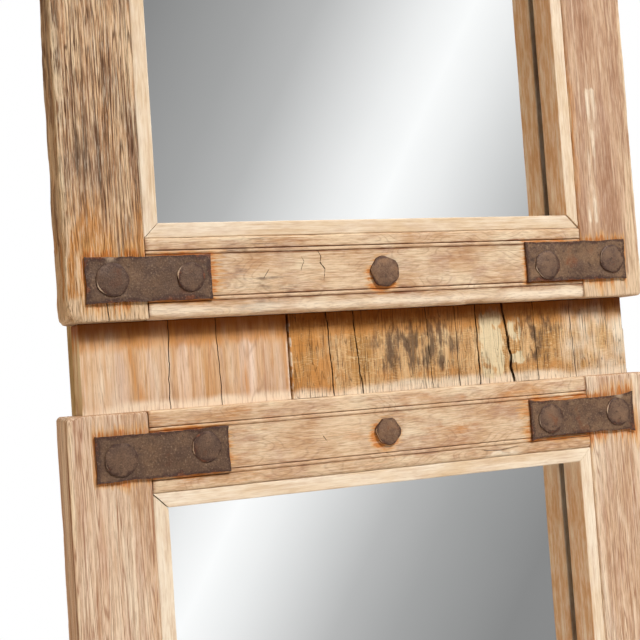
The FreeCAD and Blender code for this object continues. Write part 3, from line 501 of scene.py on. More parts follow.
for label, (left_end, right_end, lift, *heads, spread, soot, _) in STRAPS.items():
    low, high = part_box(f"{label}_strap")
    for x, (shift, rise, radius) in zip((low.x + NAIL_INSET, high.x - NAIL_INSET), heads):
        spot = Vector((x + shift * MM, low.y, (low.z + high.z) / 2 + rise * MM))
        nail_spots[label.split("_")[0]].append((spot, radius * MM, soot))
    start, stop = low + Vector((left_end, 0, lift)) * MM, high + Vector((right_end, 0, lift)) * MM
    strap_boxes[label] = (start, stop, spread)
# The nails at the middle of the rails, by frame: shift, lift and head radius, in millimetres
CENTRE_NAILS = {"upper": (3.0, -1.2, 13.9), "lower": (1.2, -0.4, 12.2)}
centre_spots = {level: [] for level in LEVELS}
for level, (shift, rise, radius) in CENTRE_NAILS.items():
    for height in ("bottom", "top"):
        low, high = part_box(f"{level}_{height}_rail")
        spot = Vector(((low.x + high.x) / 2 + shift * MM, low.y, (low.z + high.z) / 2 + rise * MM))
        centre_spots[level].append((spot, radius * MM, 0.0))
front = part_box("upper_left_stile")[0].y

# How far back from the front rust shows, and how far to the left and down it has run from a centre nail
RUST_DEPTH = 6 * MM
RUN_LEFT = 2.5 * MM
RUN_DOWN = 3 * MM


def near_iron(point, upright):
    """How near the iron lies to a point of the wood's front, counted shorter along the grain."""
    if point.y > front + RUST_DEPTH:
        return 0.0
    nearest = 1.0
    patchy = 0.35 + max(0.7 + 1.3 * speckle(point.x * 42, 7.1, point.z * 42), 0)
    for low, high, spread in strap_boxes.values():
        gap_x = max(low.x - point.x, 0, point.x - high.x) * (1.3 if upright else 0.7)
        gap_z = max(low.z - point.z, 0, point.z - high.z) * (0.5 if upright else 1.3)
        nearest = min(nearest, hypot(gap_x, gap_z) / (spread * patchy))
    for spots in centre_spots.values():
        for spot, radius, _ in spots:
            away = hypot(point.x - spot.x + RUN_LEFT, point.z - spot.z + RUN_DOWN) - radius
            nearest = min(nearest, max(away, 0) * 1.5)
    return nearness(nearest, RUST_REACH)


# The rebate for the glass, the room round the glass in it, and the hair's breadth in which its wall rises
REBATE = 10 * MM
GLASS_ROOM = 1 * MM
HAIR = 0.05 * MM


def stile(label, on_left, wear, seed):
    """A post: worn round at its edges, furrowed along the grain, rebated at the back for the glass."""
    low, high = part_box(label)
    bm = block(low, high, (3.2 * MM, 5 * MM, 3.6 * MM), (0.7 * MM, 1.6 * MM, 3 * MM))
    glass_low, glass_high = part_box(label.split("_")[0] + "_mirror")
    outer, inner, inward = (low.x, high.x, 1) if on_left else (high.x, low.x, -1)
    wall = inner - inward * REBATE
    foot, head, shelf = glass_low.z - GLASS_ROOM, glass_high.z + GLASS_ROOM, glass_low.y
    for axis, spot in ((0, wall), (0, wall + inward * HAIR), (2, foot), (2, foot + HAIR),
                       (2, head), (2, head - HAIR), (1, shelf)):
        slice_at(bm, axis, spot)

    def radius(point):
        chip = max(wander(point, (12, 12, 30), seed), 0)
        at_edge = wear if abs(point.x - outer) < 12 * MM else 0.6
        corner = hypot(point.x - outer, min(point.z - low.z, high.z - point.z))
        return (1.5 + at_edge * (0.5 + 2.4 * chip) + 2.2 * wear * nearness(corner, 16)) * MM

    round_off(bm, low, high, radius)
    middle = (low + high) / 2
    for vert in bm.verts:
        co = vert.co
        beside = (co.x - wall) * inward > HAIR / 2 and foot + HAIR / 2 < co.z < head - HAIR / 2
        if beside and co.y > shelf - HAIR:
            co.y = shelf
            continue
        furrow = max(wander(co, (4, 4, 90), seed + 5), 0) * wear * 0.25 * MM
        hollow = max(wander(co, (40, 40, 70), seed + 2) + 0.2, 0) * wear * 0.7 * MM
        if co.y < low.y + 3 * MM:
            co.y += furrow
        if abs(co.x - outer) < 2.5 * MM:
            co.x += inward * (furrow + hollow)
        elif abs(co.x - middle.x) > (high.x - low.x) / 2 - 2 * MM:
            co.x -= inward * furrow
    bmesh.ops.dissolve_degenerate(bm, dist=MERGE, edges=bm.edges)

    def edge(point):
        aside = min(abs(point.x - outer), abs(point.x - inner) + 3 * MM)
        return nearness(max(aside, max(point.y - low.y, 0) * 0.8), EDGE_REACH)

    paint(bm, "edge", edge)
    paint(bm, "rust", lambda p: near_iron(p, True))
    return bm, low, high


# Section of a rail, in millimetres: the bands from the beads to the inner and the outer edge, the ease of
# its edges, a bead with its quirks, how far in and how deep a quirk is cut, and the bead's sunk round
INNER_BAND, OUTER_BAND = 9.5, 12.5
EASE = 2.5
BEAD = 5
QUIRK, QUIRK_DEPTH = 0.5, 1.2
ROUND_SUNK, ROUND_RISE, ROUND_HALF = 1.6, 1.45, 1.7
# Room between a rail and the stile beside it
SHOULDER_GAP = 0.4 * MM


def rail(label, rebate_above, seed):
    """A beaded rail between the stiles, its ends a hair short of them, worn along its edges."""
    low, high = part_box(label)
    prefix = label.split("_")[0]
    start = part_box(f"{prefix}_left_stile")[1].x + SHOULDER_GAP
    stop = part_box(f"{prefix}_right_stile")[0].x - SHOULDER_GAP
    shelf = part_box(f"{prefix}_mirror")[0].y
    upper_band, lower_band = (INNER_BAND, OUTER_BAND) if rebate_above else (OUTER_BAND, INNER_BAND)
    bead_tops = (high.z - upper_band * MM, low.z + (lower_band + BEAD) * MM)
    turns = [k * pi / 10 for k in range(6)]
    ease = [((EASE - EASE * sin(turn)) * MM, (EASE - EASE * cos(turn)) * MM) for turn in turns]
    # From the lower back corner up the back, then down the front
    if rebate_above:
        outline = [(high.y, low.z), (high.y, high.z - REBATE), (shelf, high.z - REBATE), (shelf, high.z)]
    else:
        outline = [(shelf, low.z), (shelf, low.z + REBATE), (high.y, low.z + REBATE), (high.y, high.z)]
    outline += [(low.y + deep * MM, high.z) for deep in (20, 10, 5)]
    outline += [(low.y + deep, high.z - drop) for deep, drop in ease]
    outline += [(low.y, high.z - (EASE + k * (upper_band - EASE) / 3) * MM) for k in (1, 2)]
    for top, field in ((bead_tops[0], True), (bead_tops[1], False)):
        outline += [(low.y, top), (low.y + QUIRK_DEPTH * MM, top - QUIRK * MM)]
        for k in range(9):
            turn = pi * k / 8
            sunk = ROUND_SUNK - ROUND_RISE * sin(turn)
            outline.append((low.y + sunk * MM, top - (BEAD / 2 - ROUND_HALF * cos(turn)) * MM))
        outline += [(low.y + QUIRK_DEPTH * MM, top - (BEAD - QUIRK) * MM), (low.y, top - BEAD * MM)]
        if field:
            tall = bead_tops[0] - BEAD * MM - bead_tops[1]
            outline += [(low.y, bead_tops[0] - BEAD * MM - k * tall / 11) for k in range(1, 11)]
    outline += [(low.y, low.z + (EASE + k * (lower_band - EASE) / 3) * MM) for k in (2, 1)]
    outline += [(low.y + deep, low.z + rise) for deep, rise in reversed(ease)]
    outline += [(low.y + deep * MM, low.z) for deep in (5, 10, 20)]
    bm = bar(outline, start, stop, 3.2 * MM)
    toward = 1 if rebate_above else -1
    for vert in bm.verts:
        co = vert.co
        if co.y > low.y + 12 * MM:
            continue
        upper = exp(-(high.z - co.z) / (3 * MM))
        lower = exp(-(co.z - low.z) / (3 * MM))
        inner, outer = (upper, lower) if rebate_above else (lower, upper)
        chip = max(wander(co, (35, 30, 30), seed), 0)
        co.z += toward * (outer * 1.4 - inner * 0.25) * chip * MM
        co.y += (0.5 * inner + outer) * chip * 1.2 * MM
        co.y += max(wander(co, (60, 9, 9), seed + 3), 0) * 0.4 * MM
        co.y += 0.5 * MM * exp(-min(co.x - start, stop - co.x) / (1.2 * MM))

    # Painted shade and dirt in the quirks of the beads, darker on the upper frame, and dirt at the ends by
    # the stiles
    def shade_and_dirt(point):
        darkest = 0.95 if prefix == "upper" else 0.6
        most = 0.75 * exp(-min(point.x - start, stop - point.x) / (1.6 * MM))
        if point.y < low.y + 3 * MM:
            for top in bead_tops:
                for spot in (top - QUIRK * MM, top - (BEAD - QUIRK) * MM):
                    most = max(most, darkest * exp(-((point.z - spot) / (0.75 * MM)) ** 2))
        return most * (0.85 + 0.4 * wander(point, (40, 40, 40), seed + 6))

    def edge(point):
        sideways = min(point.z - low.z, high.z - point.z)
        return nearness(max(sideways, (point.y - low.y) * 0.8) + 2 * MM, EDGE_REACH)

    paint(bm, "grime_and_shade", shade_and_dirt)
    paint(bm, "edge", edge)
    paint(bm, "rust", lambda p: near_iron(p, False))
    return bm, low, high


# The split in the foot of the upper left post: x at its top and foot, width and depth, in millimetres,
# and how far its top reaches up behind the strap
POST_SPLIT = (-238, -237.2, 0.9, 1.5)
SPLIT_UNDER_STRAP = 4


def mark_old_post(bm, low, seed):
    """Split, bare and amber at the foot, bare along the outer edge, greyed further up."""
    strap_foot = strap_boxes["upper_bottom_left"][0].z

    def above(point):
        return max(point.z - strap_foot - 35 * MM, 0)

    def bare(point):
        outside = nearness(point.x - low.x, 26) * (0.55 + wander(point, (14, 14, 40), 5))
        return max(nearness(max(point.z - strap_foot, 0), 12), outside)

    def amber_and_warm_shade(point):
        return 1.05 * nearness(above(point), 85) * (0.75 + 0.5 * wander(point, (16, 16, 50), 9))

    def greyed(point):
        shade = 0.3 - 0.35 * nearness(above(point), 60) + 0.5 * wander(point, (9, 9, 120), 3)
        return shade + (0.3 if point.y > low.y + 5 * MM else 0)

    top, foot, wide, deep = POST_SPLIT
    ends = ((top, strap_foot / MM + SPLIT_UNDER_STRAP), (foot, low.z / MM))
    cleave(bm, low.y, [(*ends, wide, deep)], seed)
    paint(bm, "bare", bare)
    paint(bm, "amber_and_warm_shade", amber_and_warm_shade)
    paint(bm, "weather", greyed)


# Pale streaks on the upper right post: x at the top and at the foot, in millimetres, and the height of both
POST_STREAKS = ((226, 217.5), (231, 224))
STREAK_TOP, STREAK_FOOT = -0.44, -0.565


def mark_brown_post(bm, low, high):
    """Two pale streaks, bare at the foot and along the outer edge, amber beside the liner."""
    strap_foot = strap_boxes["upper_bottom_right"][0].z
    streaks = [((top * MM, STREAK_TOP), (foot * MM, STREAK_FOOT)) for top, foot in POST_STREAKS]

    def dust_and_bounce_light(point):
        nearest = max(nearness(from_line(point, *streak), 3) for streak in streaks)
        return nearest * (0.8 + 0.8 * wander(point, (9, 9, 25), 4))

    def bare(point):
        outside = 0.8 * nearness(high.x - point.x, 30) * (0.8 + 0.5 * wander(point, (8, 8, 60), 19))
        return max(1.05 * nearness(max(point.z - strap_foot, 0), 12), outside)

    def amber_and_warm_shade(point):
        return 0.95 * nearness(point.x - low.x, 9) * (0.8 + 0.6 * wander(point, (6, 6, 70), 15))

    paint(bm, "dust_and_bounce_light", dust_and_bounce_light)
    paint(bm, "bare", bare)
    paint(bm, "amber_and_warm_shade", amber_and_warm_shade)


def mark_tan_post(bm, low):
    """A dark line down the outer front edge."""
    def shade_and_dirt(point):
        depth = max(point.y - low.y - 2 * MM, 0) / (3 * MM)
        return 0.8 * exp(-((point.x - low.x) / (1.0 * MM)) ** 2 - depth ** 2)

    paint(bm, "grime_and_shade", shade_and_dirt)


# The posts: wood, slot, whether on the left, how worn, and the seed of the wear
STILES = {"upper_left_stile": (old_teak, "weathered_wood", True, 2.0, 11),
          "upper_right_stile": (brown_teak, "brown_wood", False, 0.8, 23),
          "lower_left_stile": (tan_teak, "tan_wood", True, 0.9, 37),
          "lower_right_stile": (tan_teak, "tan_wood", False, 0.7, 41)}
for label, (material, slot, on_left, wear, seed) in STILES.items():
    bm, low, high = stile(label, on_left, wear, seed)
    if label == "upper_left_stile":
        mark_old_post(bm, low, seed)
    if label == "upper_right_stile":
        mark_brown_post(bm, low, high)
    if label == "lower_left_stile":
        mark_tan_post(bm, low)
    settle(bm, label + "_post", material, [label])

# Drying cracks in the fronts of two rails, in stretches as cleave takes them
RAIL_SPLITS = {
    "upper_bottom_rail": (((-58, -584), (-55, -589), 0.5, 0.8), ((-55, -589), (-56, -594), 0.7, 1.0),
                          ((-56, -594), (-52, -600), 0.8, 1.0), ((-52, -600), (-54, -610), 0.5, 0.8),
                          ((-73, -588), (-70.5, -593), 0.4, 0.6), ((-70.5, -593), (-73, -600), 0.4, 0.6),
                          ((-101, -597), (-107, -606), 0.4, 0.6)),
    "lower_top_rail": (((-66, -737), (-61, -744), 0.5, 0.8), ((86, -765), (103, -766.4), 0.6, 0.8),
                       ((103, -766.4), (124, -764.2), 0.6, 0.8))}


def mark_rail(bm, label, low):
    """Bare where it has cracked, amber on the lower frame, paler or smudged where its own wear lies."""
    def bare(point):
        return 0.66 * around(point.x, -40, 80) * (0.8 + 0.5 * wander(point, (40, 30, 16), 33))

    def chipped_edge(point):
        near = 2.4 * around(point.x, 106, 24) * nearness(point.z - low.z, 7)
        return near * (0.9 + wander(point, (9, 9, 9), 3))

    def smudge(point):
        return 0.57 * around(point.x, -110, 80) * (0.8 + 0.5 * wander(point, (40, 9, 12), 7))

    # Paler along a band near the foot
    def pale_foot_band(point):
        return 0.75 * around(point.z - low.z, 6, 9) * (0.9 + 0.5 * wander(point, (50, 9, 20), 5))

    if label in RAIL_SPLITS:
        paint(bm, "bare", bare)
    if label.startswith("lower"):
        paint(bm, "amber_and_warm_shade", lambda p: 0.3 + 0.25 * wander(p, (60, 30, 18), 21))
    if label == "lower_top_rail":
        # White paint caught where the edge has chipped
        paint(bm, "dust_and_bounce_light", chipped_edge)
    if label == "upper_bottom_rail":
        paint(bm, "weather", smudge)
        paint(bm, "dust_and_bounce_light", pale_foot_band)


for number, level in enumerate(LEVELS):
    for height in ("bottom", "top"):
        label = f"{level}_{height}_rail"
        bm, low, high = rail(label, height == "bottom", 5 + 13 * number + len(height))
        cleave(bm, low.y, RAIL_SPLITS.get(label, ()), number)
        mark_rail(bm, label, low)
        settle(bm, label + "_beaded", honey_teak, [label])


# The mitres that gape, by strip and end, and how far the others stand open, in millimetres
GAPING = {("upper_right_liner", -1): 1.3, ("upper_bottom_liner", 1): 1.3, ("lower_left_liner", 1): 1.0}
MITRE_GAP = 0.3


def liner(label, seed):
    """One strip of an opening's lining, with its front arris eased and its ends cut to the mitre."""
    low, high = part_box(label)
    level, place, _ = label.split("_")
    upright = place in ("left", "right")
    cells = (3 * MM, 5 * MM, 7 * MM) if upright else (7 * MM, 5 * MM, 3 * MM)
    bm = block(low, high, cells, (0.6 * MM, 1.4 * MM))
    round_off(bm, low, high, lambda p: (0.7 + 0.6 * max(wander(p, (30, 30, 30), seed), 0)) * MM)
    for vert in bm.verts:
        if vert.co.y < low.y + 6 * MM:
            vert.co.y += max(wander(vert.co, (60, 60, 60), seed), 0) * 0.5 * MM
    outside, lean = (low, 1) if place in ("left", "bottom") else (high, -1)
    for end, tip in ((-1, low), (1, high)):
        open_by = end * GAPING.get((label, end), MITRE_GAP) * MM
        if upright:
            centre, normal = Vector((outside.x, 0, tip.z - open_by)), Vector((lean, 0, end))
        else:
            centre, normal = Vector((tip.x - open_by, 0, outside.z)), Vector((end, 0, lean))
        cut = slice_through(bm, centre, normal, cut_off=True)
        rim = [item for item in cut["geom_cut"] if isinstance(item, bmesh.types.BMEdge)]
        bmesh.ops.edgeloop_fill(bm, edges=rim)
    # Painted shade, darker towards the back where the strip meets the glass
    paint(bm, "grime_and_shade", lambda p: 0.55 * exp(-abs(p.y - high.y) / (2.5 * MM)))
    # Painted shade on the inner face of the right strips, which faces away from the light
    if place == "right":
        paint(bm, "amber_and_warm_shade", lambda p: 0.62 if p.x < low.x + 0.4 * MM else 0)
    if level == "lower":
        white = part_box("lower_top_liner")[1]
        paint(bm, "dust_and_bounce_light", lambda p: 0.95 * nearness(hypot(p.x - white.x, p.z - white.z), 42))
    whitewood = upright_whitewood if upright else level_whitewood
    settle(bm, label + "_strip", whitewood, [label])


for number, level in enumerate(LEVELS):
    for place in ("left", "right", "bottom", "top"):
        liner(f"{level}_{place}_liner", 3 * number + len(place))


# Where the upper edge of a strap is rubbed bright, painted as a highlight: how far along it, and how strongly
RUBBED_HIGHLIGHTS = {"upper_bottom_left": (0.2, 0.6), "lower_top_right": (0.86, 0.7)}


def strap(label, soot, drawn, seed):
    """A hand-cut iron strap: wavering edges drawn in between flared corners, and a hammered face."""
    low, high, _ = strap_boxes[label]
    bm = block(low, high, (1.7 * MM, 1.3 * MM, 1.5 * MM), (0.4 * MM, 0.9 * MM))
    middle = (low + high) / 2
    half = (high - low) / 2
    for vert in bm.verts:
        co = vert.co
        across = (co.x - middle.x) / half.x
        rise = (co.z - middle.z) / half.z
        side_x = 1 if across > 0 else -1
        side_z = 1 if rise > 0 else -1
        draw_z = 0.3 + drawn * (1 - across ** 6) + 0.9 * speckle(co.x * 60, seed, side_z * 3)
        draw_z += 0.4 * speckle(co.x * 260, seed, side_z)
        draw_x = 0.3 + 0.6 * (1 - rise ** 4) + 0.6 * speckle(co.z * 80, seed + 4, side_x * 3)
        draw_x += 0.35 * speckle(co.z * 300, seed + 4, side_x)
        co.z -= side_z * max(draw_z, 0) * abs(rise) * MM
        co.x -= side_x * max(draw_x, 0) * abs(across) ** 3 * MM

    def edge(point):
        inset = min(half.x - abs(point.x - middle.x), half.z - abs(point.z - middle.z))
        return nearness(max(inset, 0), EDGE_REACH)

    paint(bm, "edge", edge)
    paint(bm, "soot", lambda p: soot)
    # Painted highlight on rubbed iron along the upper edge
    if label in RUBBED_HIGHLIGHTS:
        along, share = RUBBED_HIGHLIGHTS[label]
        spot = low.x + along * (high.x - low.x)
        paint(bm, "wear", lambda p: share * nearness(hypot(p.x - spot, p.z - high.z + 2 * MM), 13))
    round_off(bm, low, high, lambda p: (0.8 + 0.5 * noise.noise(p * 150)) * MM)
    for vert in bm.verts:
        if vert.co.y < low.y + 1 * MM:
            dent = max(noise.noise(vert.co * 75 + Vector((seed, 0, 0))) + 0.25, 0) * 0.5
            dent += max(noise.noise(vert.co * 230 + Vector((0, seed, 0))), 0) * 0.25
            vert.co.y += dent * MM
    settle(bm, label + "_strap_forged", strap_iron, [label + "_strap"], angle=50)


for number, label in enumerate(STRAPS):
    strap(label, *STRAPS[label][-2:], number * 1.7)

# Half the section of a nail's head, as shares of its radius and height: crown, worn rim, flat underside
HEAD_SHARES = ((0, 1), (0.4, 0.99), (0.7, 0.95), (0.86, 0.86), (0.94, 0.7), (0.985, 0.45), (1, 0.2),
               (0.99, 0), (0, 0))
HEAD_STEPS = 44
# Hammer blows on each head
BLOWS = 4
# A nail's shank: length and width under the head, and the width of its point as a share of that
SHANK = 28 * MM
SHANK_WIDTH = 4.2 * MM
POINT_SHARE = 0.33


def nail_head(bm, spot, radius, soot, tall, cuts, trim, seed):
    """A hammered head on its square shank: a turned button, flattened blow by blow."""
    chance = random.Random(seed)
    rim, border, dark = [marks_on(bm, layer) for layer in ("wear", "edge", "soot")]
    points = [bm.verts.new((spot.x + r * radius, spot.y - h * tall, spot.z)) for r, h in HEAD_SHARES]
    edges = [bm.edges.new(points[k:k + 2]) for k in range(len(points) - 1)]
    bmesh.ops.spin(bm, geom=points + edges, cent=spot, axis=(0, 1, 0), angle=2 * pi, steps=HEAD_STEPS,
                   use_merge=True)
    bmesh.ops.remove_doubles(bm, verts=bm.verts, dist=MERGE)
    head = [v for v in bm.verts if (v.co - spot).length < radius * 1.6]
    # Painted highlight: a bright arc along the left part of the rim, rubbed iron catching the light
    side, rim_highlight = 2.6 + 1.2 * chance.random(), 0.3 + 0.65 * chance.random()
    for vert in head:
        away = hypot(vert.co.x - spot.x, vert.co.z - spot.z)
        turned = atan2(vert.co.z - spot.z, vert.co.x - spot.x)
        on_rim = exp(-((away - radius * 0.95) / (0.7 * MM)) ** 2)
        vert[rim] = rim_highlight * max(cos(turned - side), 0) ** 3 * on_rim
        vert[border] = nearness(abs(away - radius) + 1.6 * MM, EDGE_REACH)
        vert[dark] = soot
    flats = []
    for blow in range(BLOWS):
        turn = 2 * pi * (blow + 0.6 * chance.random()) / BLOWS
        tilt = 0.07 + 0.13 * chance.random()
        normal = Vector((cos(turn) * sin(tilt), -cos(tilt), sin(turn) * sin(tilt)))
        reach, height = radius * 0.55, tall * (0.9 + 0.06 * chance.random())
        flats.append((spot + Vector((cos(turn) * reach, -height, sin(turn) * reach)), normal))
    for cut in range(cuts):
        turn = 2 * pi * (cut + 0.7 * chance.random()) / cuts
        normal = Vector((cos(turn), -0.1, sin(turn))).normalized()
        flats.append((spot + normal * radius * (trim + 0.07 * chance.random()), normal))
    for top, normal in flats:
        for vert in head:
            proud = (vert.co - top).dot(normal)
            if proud > 0:
                vert.co -= normal * proud
    for vert in head:
        vert.co += (spot - vert.co).normalized() * max(noise.noise(vert.co * 260), 0) * 0.15 * MM
        vert.co.y = min(vert.co.y, spot.y)
    stem = bmesh.ops.create_cube(bm, size=1)["verts"]
    bmesh.ops.scale(bm, vec=(SHANK_WIDTH, SHANK, SHANK_WIDTH), verts=stem)
    bmesh.ops.translate(bm, vec=spot + Vector((0, SHANK / 2, 0)), verts=stem)
    point = [vert for vert in stem if vert.co.y > spot.y + SHANK / 2]
    bmesh.ops.scale(bm, vec=(POINT_SHARE, 1, POINT_SHARE), verts=point, space=Matrix.Translation(-spot))


# The nails by kind: places, iron, height of the head, cuts round its rim, how far out these lie as a
# share of its radius, and the first seed of each frame
NAILS = {"strap": (nail_spots, head_iron, 1.6 * MM, 5, 0.91, (0, 10)),
         "centre": (centre_spots, nail_iron, 3.6 * MM, 6, 0.87, (60, 67))}
for number, level in enumerate(LEVELS):
    for kind, (spots, iron, tall, cuts, trim, seeds) in NAILS.items():
        bm = bmesh.new()
        for k, (spot, radius, soot) in enumerate(spots[level]):
            nail_head(bm, spot, radius, soot, tall, cuts, trim, seeds[number] + k)
        label = f"{level}_{kind}_nails"
        settle(bm, label + "_forged", iron, [label], angle=24)

# Splits in the boards between the frames: x at the top and at the foot, width and depth, in millimetres
LEFT_SPLITS = ((-186.4, -188.8, 0.7, 3.0), (-146.6, -144.5, 0.7, 3.0))
RIGHT_SPLITS = ((-47.8, -45.4, 1.0, 5.0), (-23.6, -18.1, 1.0, 5.0), (97.1, 97.5, 1.1, 4.0),
                (125.5, 132.4, 2.4, 9.0), (47.0, 49.5, 0.6, 2.0), (76.0, 76.6, 0.6, 2.5),
                (157.0, 158.5, 0.6, 2.0), (196.0, 199.0, 0.5, 2.0))


def board(label, splits, seed, rough):
    """A short board with its grain upright: worn, furrowed and split."""
    low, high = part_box(label)
    bm = block(low, high, (1.6 * MM, 6 * MM, 2.4 * MM), (0.6 * MM, 1.3 * MM))

    def radius(point):
        if point.z > low.z + 3 * MM:
            return (0.9 + 0.8 * max(wander(point, (20, 20, 20), seed), 0)) * MM
        return 0.1 * MM

    # Dust with painted bounce light from the frame below, palest at the foot
    def dust_and_bounce_light(point):
        return 1.5 * nearness(point.z - low.z, 13) * (0.8 + 0.5 * wander(point, (60, 60, 60), seed))

    round_off(bm, low, high, radius)
    for vert in bm.verts:
        if vert.co.y < low.y + SKIN:
            vert.co.y += max(wander(vert.co, (3, 3, 70), seed + 1), 0) * rough * MM
    ends = [((top, high.z / MM), (foot, low.z / MM), wide, deep) for top, foot, wide, deep in splits]
    cleave(bm, low.y, ends, seed)
    # Painted shadow under the frame above, with damp and dirt: dark at the top, warm orange below it; dust
    # and painted bounce light from the frame below along the foot
    paint(bm, "grime_and_shade", lambda p: 0.95 * exp(-((high.z - p.z) / (16 * MM)) ** 2))
    paint(bm, "amber_and_warm_shade", lambda p: nearness(max(high.z - p.z - 15 * MM, 0), 15))
    paint(bm, "dust_and_bounce_light", dust_and_bounce_light)
    return bm, low, high


bm, low, high = board("left_spacer_board", LEFT_SPLITS, 71, 0.3)
# How far round the left board's front its bands go. Bands of pale and of orange wood: x of the middle,
# half width and strength. The slanting orange streak: x at the top and at the foot. In millimetres.
LEFT_FACE = 4 * MM
PALE = ((-242, 24, 0.5), (-195, 15, 0.45), (-137, 10, 0.4), (-97, 14, 0.35))
ORANGE = ((-122, 9, 0.75), (-168, 9, 0.5), (-88, 6, 0.6))
SLANT_TOP, SLANT_FOOT = -224 * MM, -211 * MM


def left_pale(point):
    """Pale bands, and flecks of white along the gap."""
    if point.y >= low.y + LEFT_FACE:
        return 0
    band = max(share * min(1.8 * around(point.x, x, half), 1) for x, half, share in PALE)
    fleck = nearness(high.x - point.x, 2) * (0.6 + 2.5 * wander(point, (5, 5, 5), 2))
    return max(band * (0.9 + 0.4 * wander(point, (7, 7, 40), 8)), fleck)


def left_orange(point):
    """Orange bands and the slanting streak."""
    if point.y >= low.y + LEFT_FACE:
        return 0
    streak = 0.9 * nearness(from_line(point, (SLANT_TOP, high.z), (SLANT_FOOT, low.z)), 9)
    band = max(share * around(point.x, x, half) for x, half, share in ORANGE)
    return max(streak, band) * (0.8 + 0.6 * wander(point, (4, 4, 60), 6))


def side_tint_and_bounce_light(point):
    """The sawn side towards the batten is yellower, and painted lighter with bounce light from the left."""
    return 0.48 + 0.3 * wander(point, (6, 6, 60), 12) if point.x < low.x + 0.5 * MM else 0


paint(bm, "dust_and_bounce_light", left_pale)
paint(bm, "paint", side_tint_and_bounce_light)
paint(bm, "amber_and_warm_shade", left_orange)
settle(bm, "left_spacer_board_worn", pink_teak, ["left_spacer_board"])

bm, low, high = board("right_spacer_board", RIGHT_SPLITS, 83, 0.8)
middle_z = (low.z + high.z) / 2
# The sliver lost from the front of the right-hand edge
SLIVER_WIDTH, SLIVER_DEPTH, SLIVER_LENGTH = 1.6 * MM, 5 * MM, 29 * MM
for vert in bm.verts:
    if vert.co.z > high.z - SLIVER_LENGTH and vert.co.y < low.y + SLIVER_DEPTH:
        vert.co.x = min(vert.co.x, high.x - SLIVER_WIDTH)
# How far round the right board's front its greyed wood and old paint go
RIGHT_FACE = 8 * MM


def greyed(point):
    """Weathered wood round the middle, and once more towards the right."""
    if point.y > low.y + RIGHT_FACE:
        return 0
    tall = min(2 * around(point.z - middle_z, 3, 33), 1)
    broad = 0.72 * min(1.7 * around(point.x, 36, 62), 1)
    second = 0.66 * min(1.6 * around(point.x, 163, 32), 1)
    core = 0.95 * nearness(hypot(1.5 * (point.x - 27 * MM), point.z - middle_z - 2 * MM), 30)
    return max(broad, second, core) * tall * (0.9 + 0.5 * wander(point, (9, 9, 26), 91))


def old_paint(point):
    """A patch of cream paint, a thinner one beside it and a thick drop at the foot of the wide split."""
    if point.y > low.y + RIGHT_FACE:
        return 0
    patch = min(2.2 * around(point.x, 112, 15), 1)
    patch *= min(2.5 * around(point.z - middle_z, 0, 38), 1)
    patch *= 0.8 + 0.6 * wander(point, (7, 7, 14), 17)
    second = min(2 * around(point.x, 136, 9), 1)
    second *= around(point.z - middle_z, 12, 22)
    away = hypot(point.x - 138 * MM, point.z - middle_z + 15.5 * MM)
    blob = 2 * nearness(away + 4 * MM * wander(point, (6, 6, 6), 53), 9)
    return max(patch, second * (0.6 + 0.6 * wander(point, (6, 6, 12), 29)), min(blob, 0.9))


def right_amber(point):
    """Amber wood at the left, and faintly along the foot."""
    band = max(nearness(max(point.x + 60 * MM, 0), 60), 0.6 * around(point.z - low.z, 14, 14))
    return band * (0.8 + 0.5 * wander(point, (30, 30, 20), 44))


def right_dust(point):
    """Paler towards the right, with flecks of white along the gap."""
    pale = 0.7 * min(max((point.x - 165 * MM) / (40 * MM), 0), 1)
    pale *= 0.7 + 0.6 * wander(point, (20, 20, 30), 37)
    if point.y >= low.y + 3 * MM:
        return max(pale, 0)
    return max(pale, nearness(point.x - low.x, 2) * (0.4 + 2.5 * wander(point, (5, 5, 6), 13)))


paint(bm, "weather", greyed)
paint(bm, "amber_and_warm_shade", right_amber)
paint(bm, "paint", old_paint)
paint(bm, "dust_and_bounce_light", right_dust)
settle(bm, "right_spacer_board_worn", ochre_teak, ["right_spacer_board"])

# Solids that keep their own shape
FINISHES = {mirror_glass: ("upper_mirror", "lower_mirror"),
            plywood: ("upper_back_panel", "lower_back_panel"),
            sawn_softwood: ("left_batten", "right_batten", "spacer_tenons"),
            plain_steel: ("batten_nails", "upper_panel_sprigs", "lower_panel_sprigs"),
            zinc_steel: ("left_hanger_plate", "right_hanger_plate", "left_hanger_ring", "right_hanger_ring",
                         "hanger_screws")}
for material, labels in FINISHES.items():
    for label in labels:
        mesh = nodes[label].data
        mesh.materials.clear()
        mesh.materials.append(material)

# Camera at the photograph's place: left of the middle and level with the gap between the frames.
# Its lens in pixels of the picture, its place, and its pitch, roll and yaw in degrees.
PICTURE_PX = 640
LENS_PX = 1183.6
SENSOR = 36
CAMERA_PLACE = (-0.43398, -0.97886, -0.68335)
CAMERA_TURN = (92.3555, 4.0082, -22.0378)
view = bpy.data.cameras.new("camera")
view.sensor_width = SENSOR
view.lens = LENS_PX * SENSOR / PICTURE_PX
view.clip_start = 10 * MM
camera = put("camera", view)
turn = Euler([radians(angle) for angle in CAMERA_TURN]).to_matrix()
camera.matrix_world = Matrix.Translation(CAMERA_PLACE) @ turn.to_4x4()
bpy.context.scene.camera = camera

# Pale floor under the lowest edge
FLOOR_HALF = 1.2
FLOOR_GAP = 0.5 * MM
bm = bmesh.new()
bmesh.ops.create_grid(bm, x_segments=1, y_segments=1, size=FLOOR_HALF)
bmesh.ops.translate(bm, vec=(0, 0, cad_box[0][2] - FLOOR_GAP), verts=bm.verts)
floor_mesh = bpy.data.meshes.new("floor")
bm.to_mesh(floor_mesh)
bm.free()
floor_mesh.materials.append(floor_white)
floor = put("floor", floor_mesh)


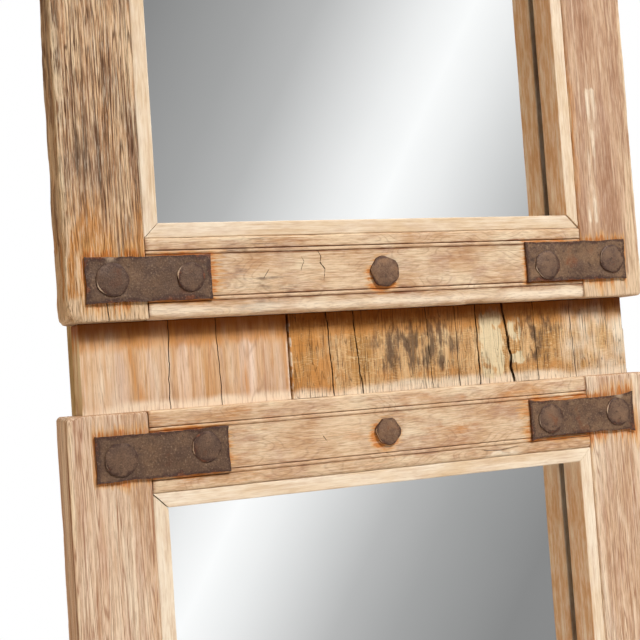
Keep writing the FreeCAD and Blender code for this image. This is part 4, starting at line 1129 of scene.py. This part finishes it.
def lamp(name, place, aim, width, power, tint):
    """A soft box that faces a point of the object."""
    light = bpy.data.lights.new(name, "AREA")
    light.shape = "SQUARE"
    light.size = width
    light.energy = power
    light.color = linear(tint)[:3]
    item = put(name, light)
    item.location = place
    item.rotation_euler = (Vector(aim) - Vector(place)).to_track_quat("-Z", "Y").to_euler()


MIDDLE = (0, 0, -0.67)
LEFT_SIDE = (-0.2, 0, -0.67)
lamp("key", (1.2, -2.7, 2.4), MIDDLE, 1.0, 197, "#fffdfa")
lamp("back", (0.7, 2.6, 0.5), MIDDLE, 1.4, 75, "#fffaf4")
lamp("bounce", (-2.6, -0.5, -0.5), LEFT_SIDE, 1.3, 17, "#ffd9ad")

# White round the object; reflections see a studio wall that is brightest along one slanting band.
# Pixels of the picture where the mirrors show the band's middle, and how the wall darkens away from it.
BAND_TOP_PX = (422, 115)
BAND_FOOT_PX = (228, 528)
BAND_REACH = 0.24
FALL = ((0.0, "#fefefe"), (0.14, "#f0f0f0"), (0.33, "#d3d3d3"), (0.48, "#b9b9b9"), (0.67, "#a5a5a5"),
        (1.0, "#8a8a8a"))


def reflected(spot_px):
    """Where a mirror on the wall sends the sight line through this pixel of the picture."""
    aside, down = [(place - PICTURE_PX / 2) / LENS_PX for place in spot_px]
    line = turn @ Vector((aside, -down, -1))
    return Vector((line.x, -line.y, line.z)).normalized()


world = bpy.data.worlds.new("studio")
bpy.context.scene.world = world
world.use_nodes = True
tree = world.node_tree
tree.nodes.clear()
toward = add(tree, "TexCoord", out="Generated")
by_camera = add(tree, "LightPath", out="Is Camera Ray")
rays = by_camera.node.outputs
across_band = reflected(BAND_TOP_PX).cross(reflected(BAND_FOOT_PX)).normalized()
offset = add(tree, "VectorMath", {0: toward, 1: across_band}, "Value", operation="DOT_PRODUCT")
distance = add(tree, "Math", {0: offset}, operation="ABSOLUTE")
spread = add(tree, "MapRange", {0: distance, 1: 0.0, 2: BAND_REACH})
wall = add(tree, "ValToRGB", {"Fac": spread}, stops=[(place, linear(code)) for place, code in FALL])
soft = add(tree, "Background", {"Color": linear("#ffdfba"), "Strength": 0.16})
studio = add(tree, "Background", {"Color": wall, "Strength": 1.06})
white = add(tree, "Background", {"Color": linear("#ffffff"), "Strength": 1.0})
lit = add(tree, "MixShader", {0: rays["Is Glossy Ray"], 1: soft, 2: studio})
seen = add(tree, "Math", {0: by_camera, 1: rays["Is Transmission Ray"]}, operation="MAXIMUM")
add(tree, "OutputWorld", {"Surface": add(tree, "MixShader", {0: seen, 1: lit, 2: white})})
bpy.context.scene.view_settings.view_transform = "Standard"
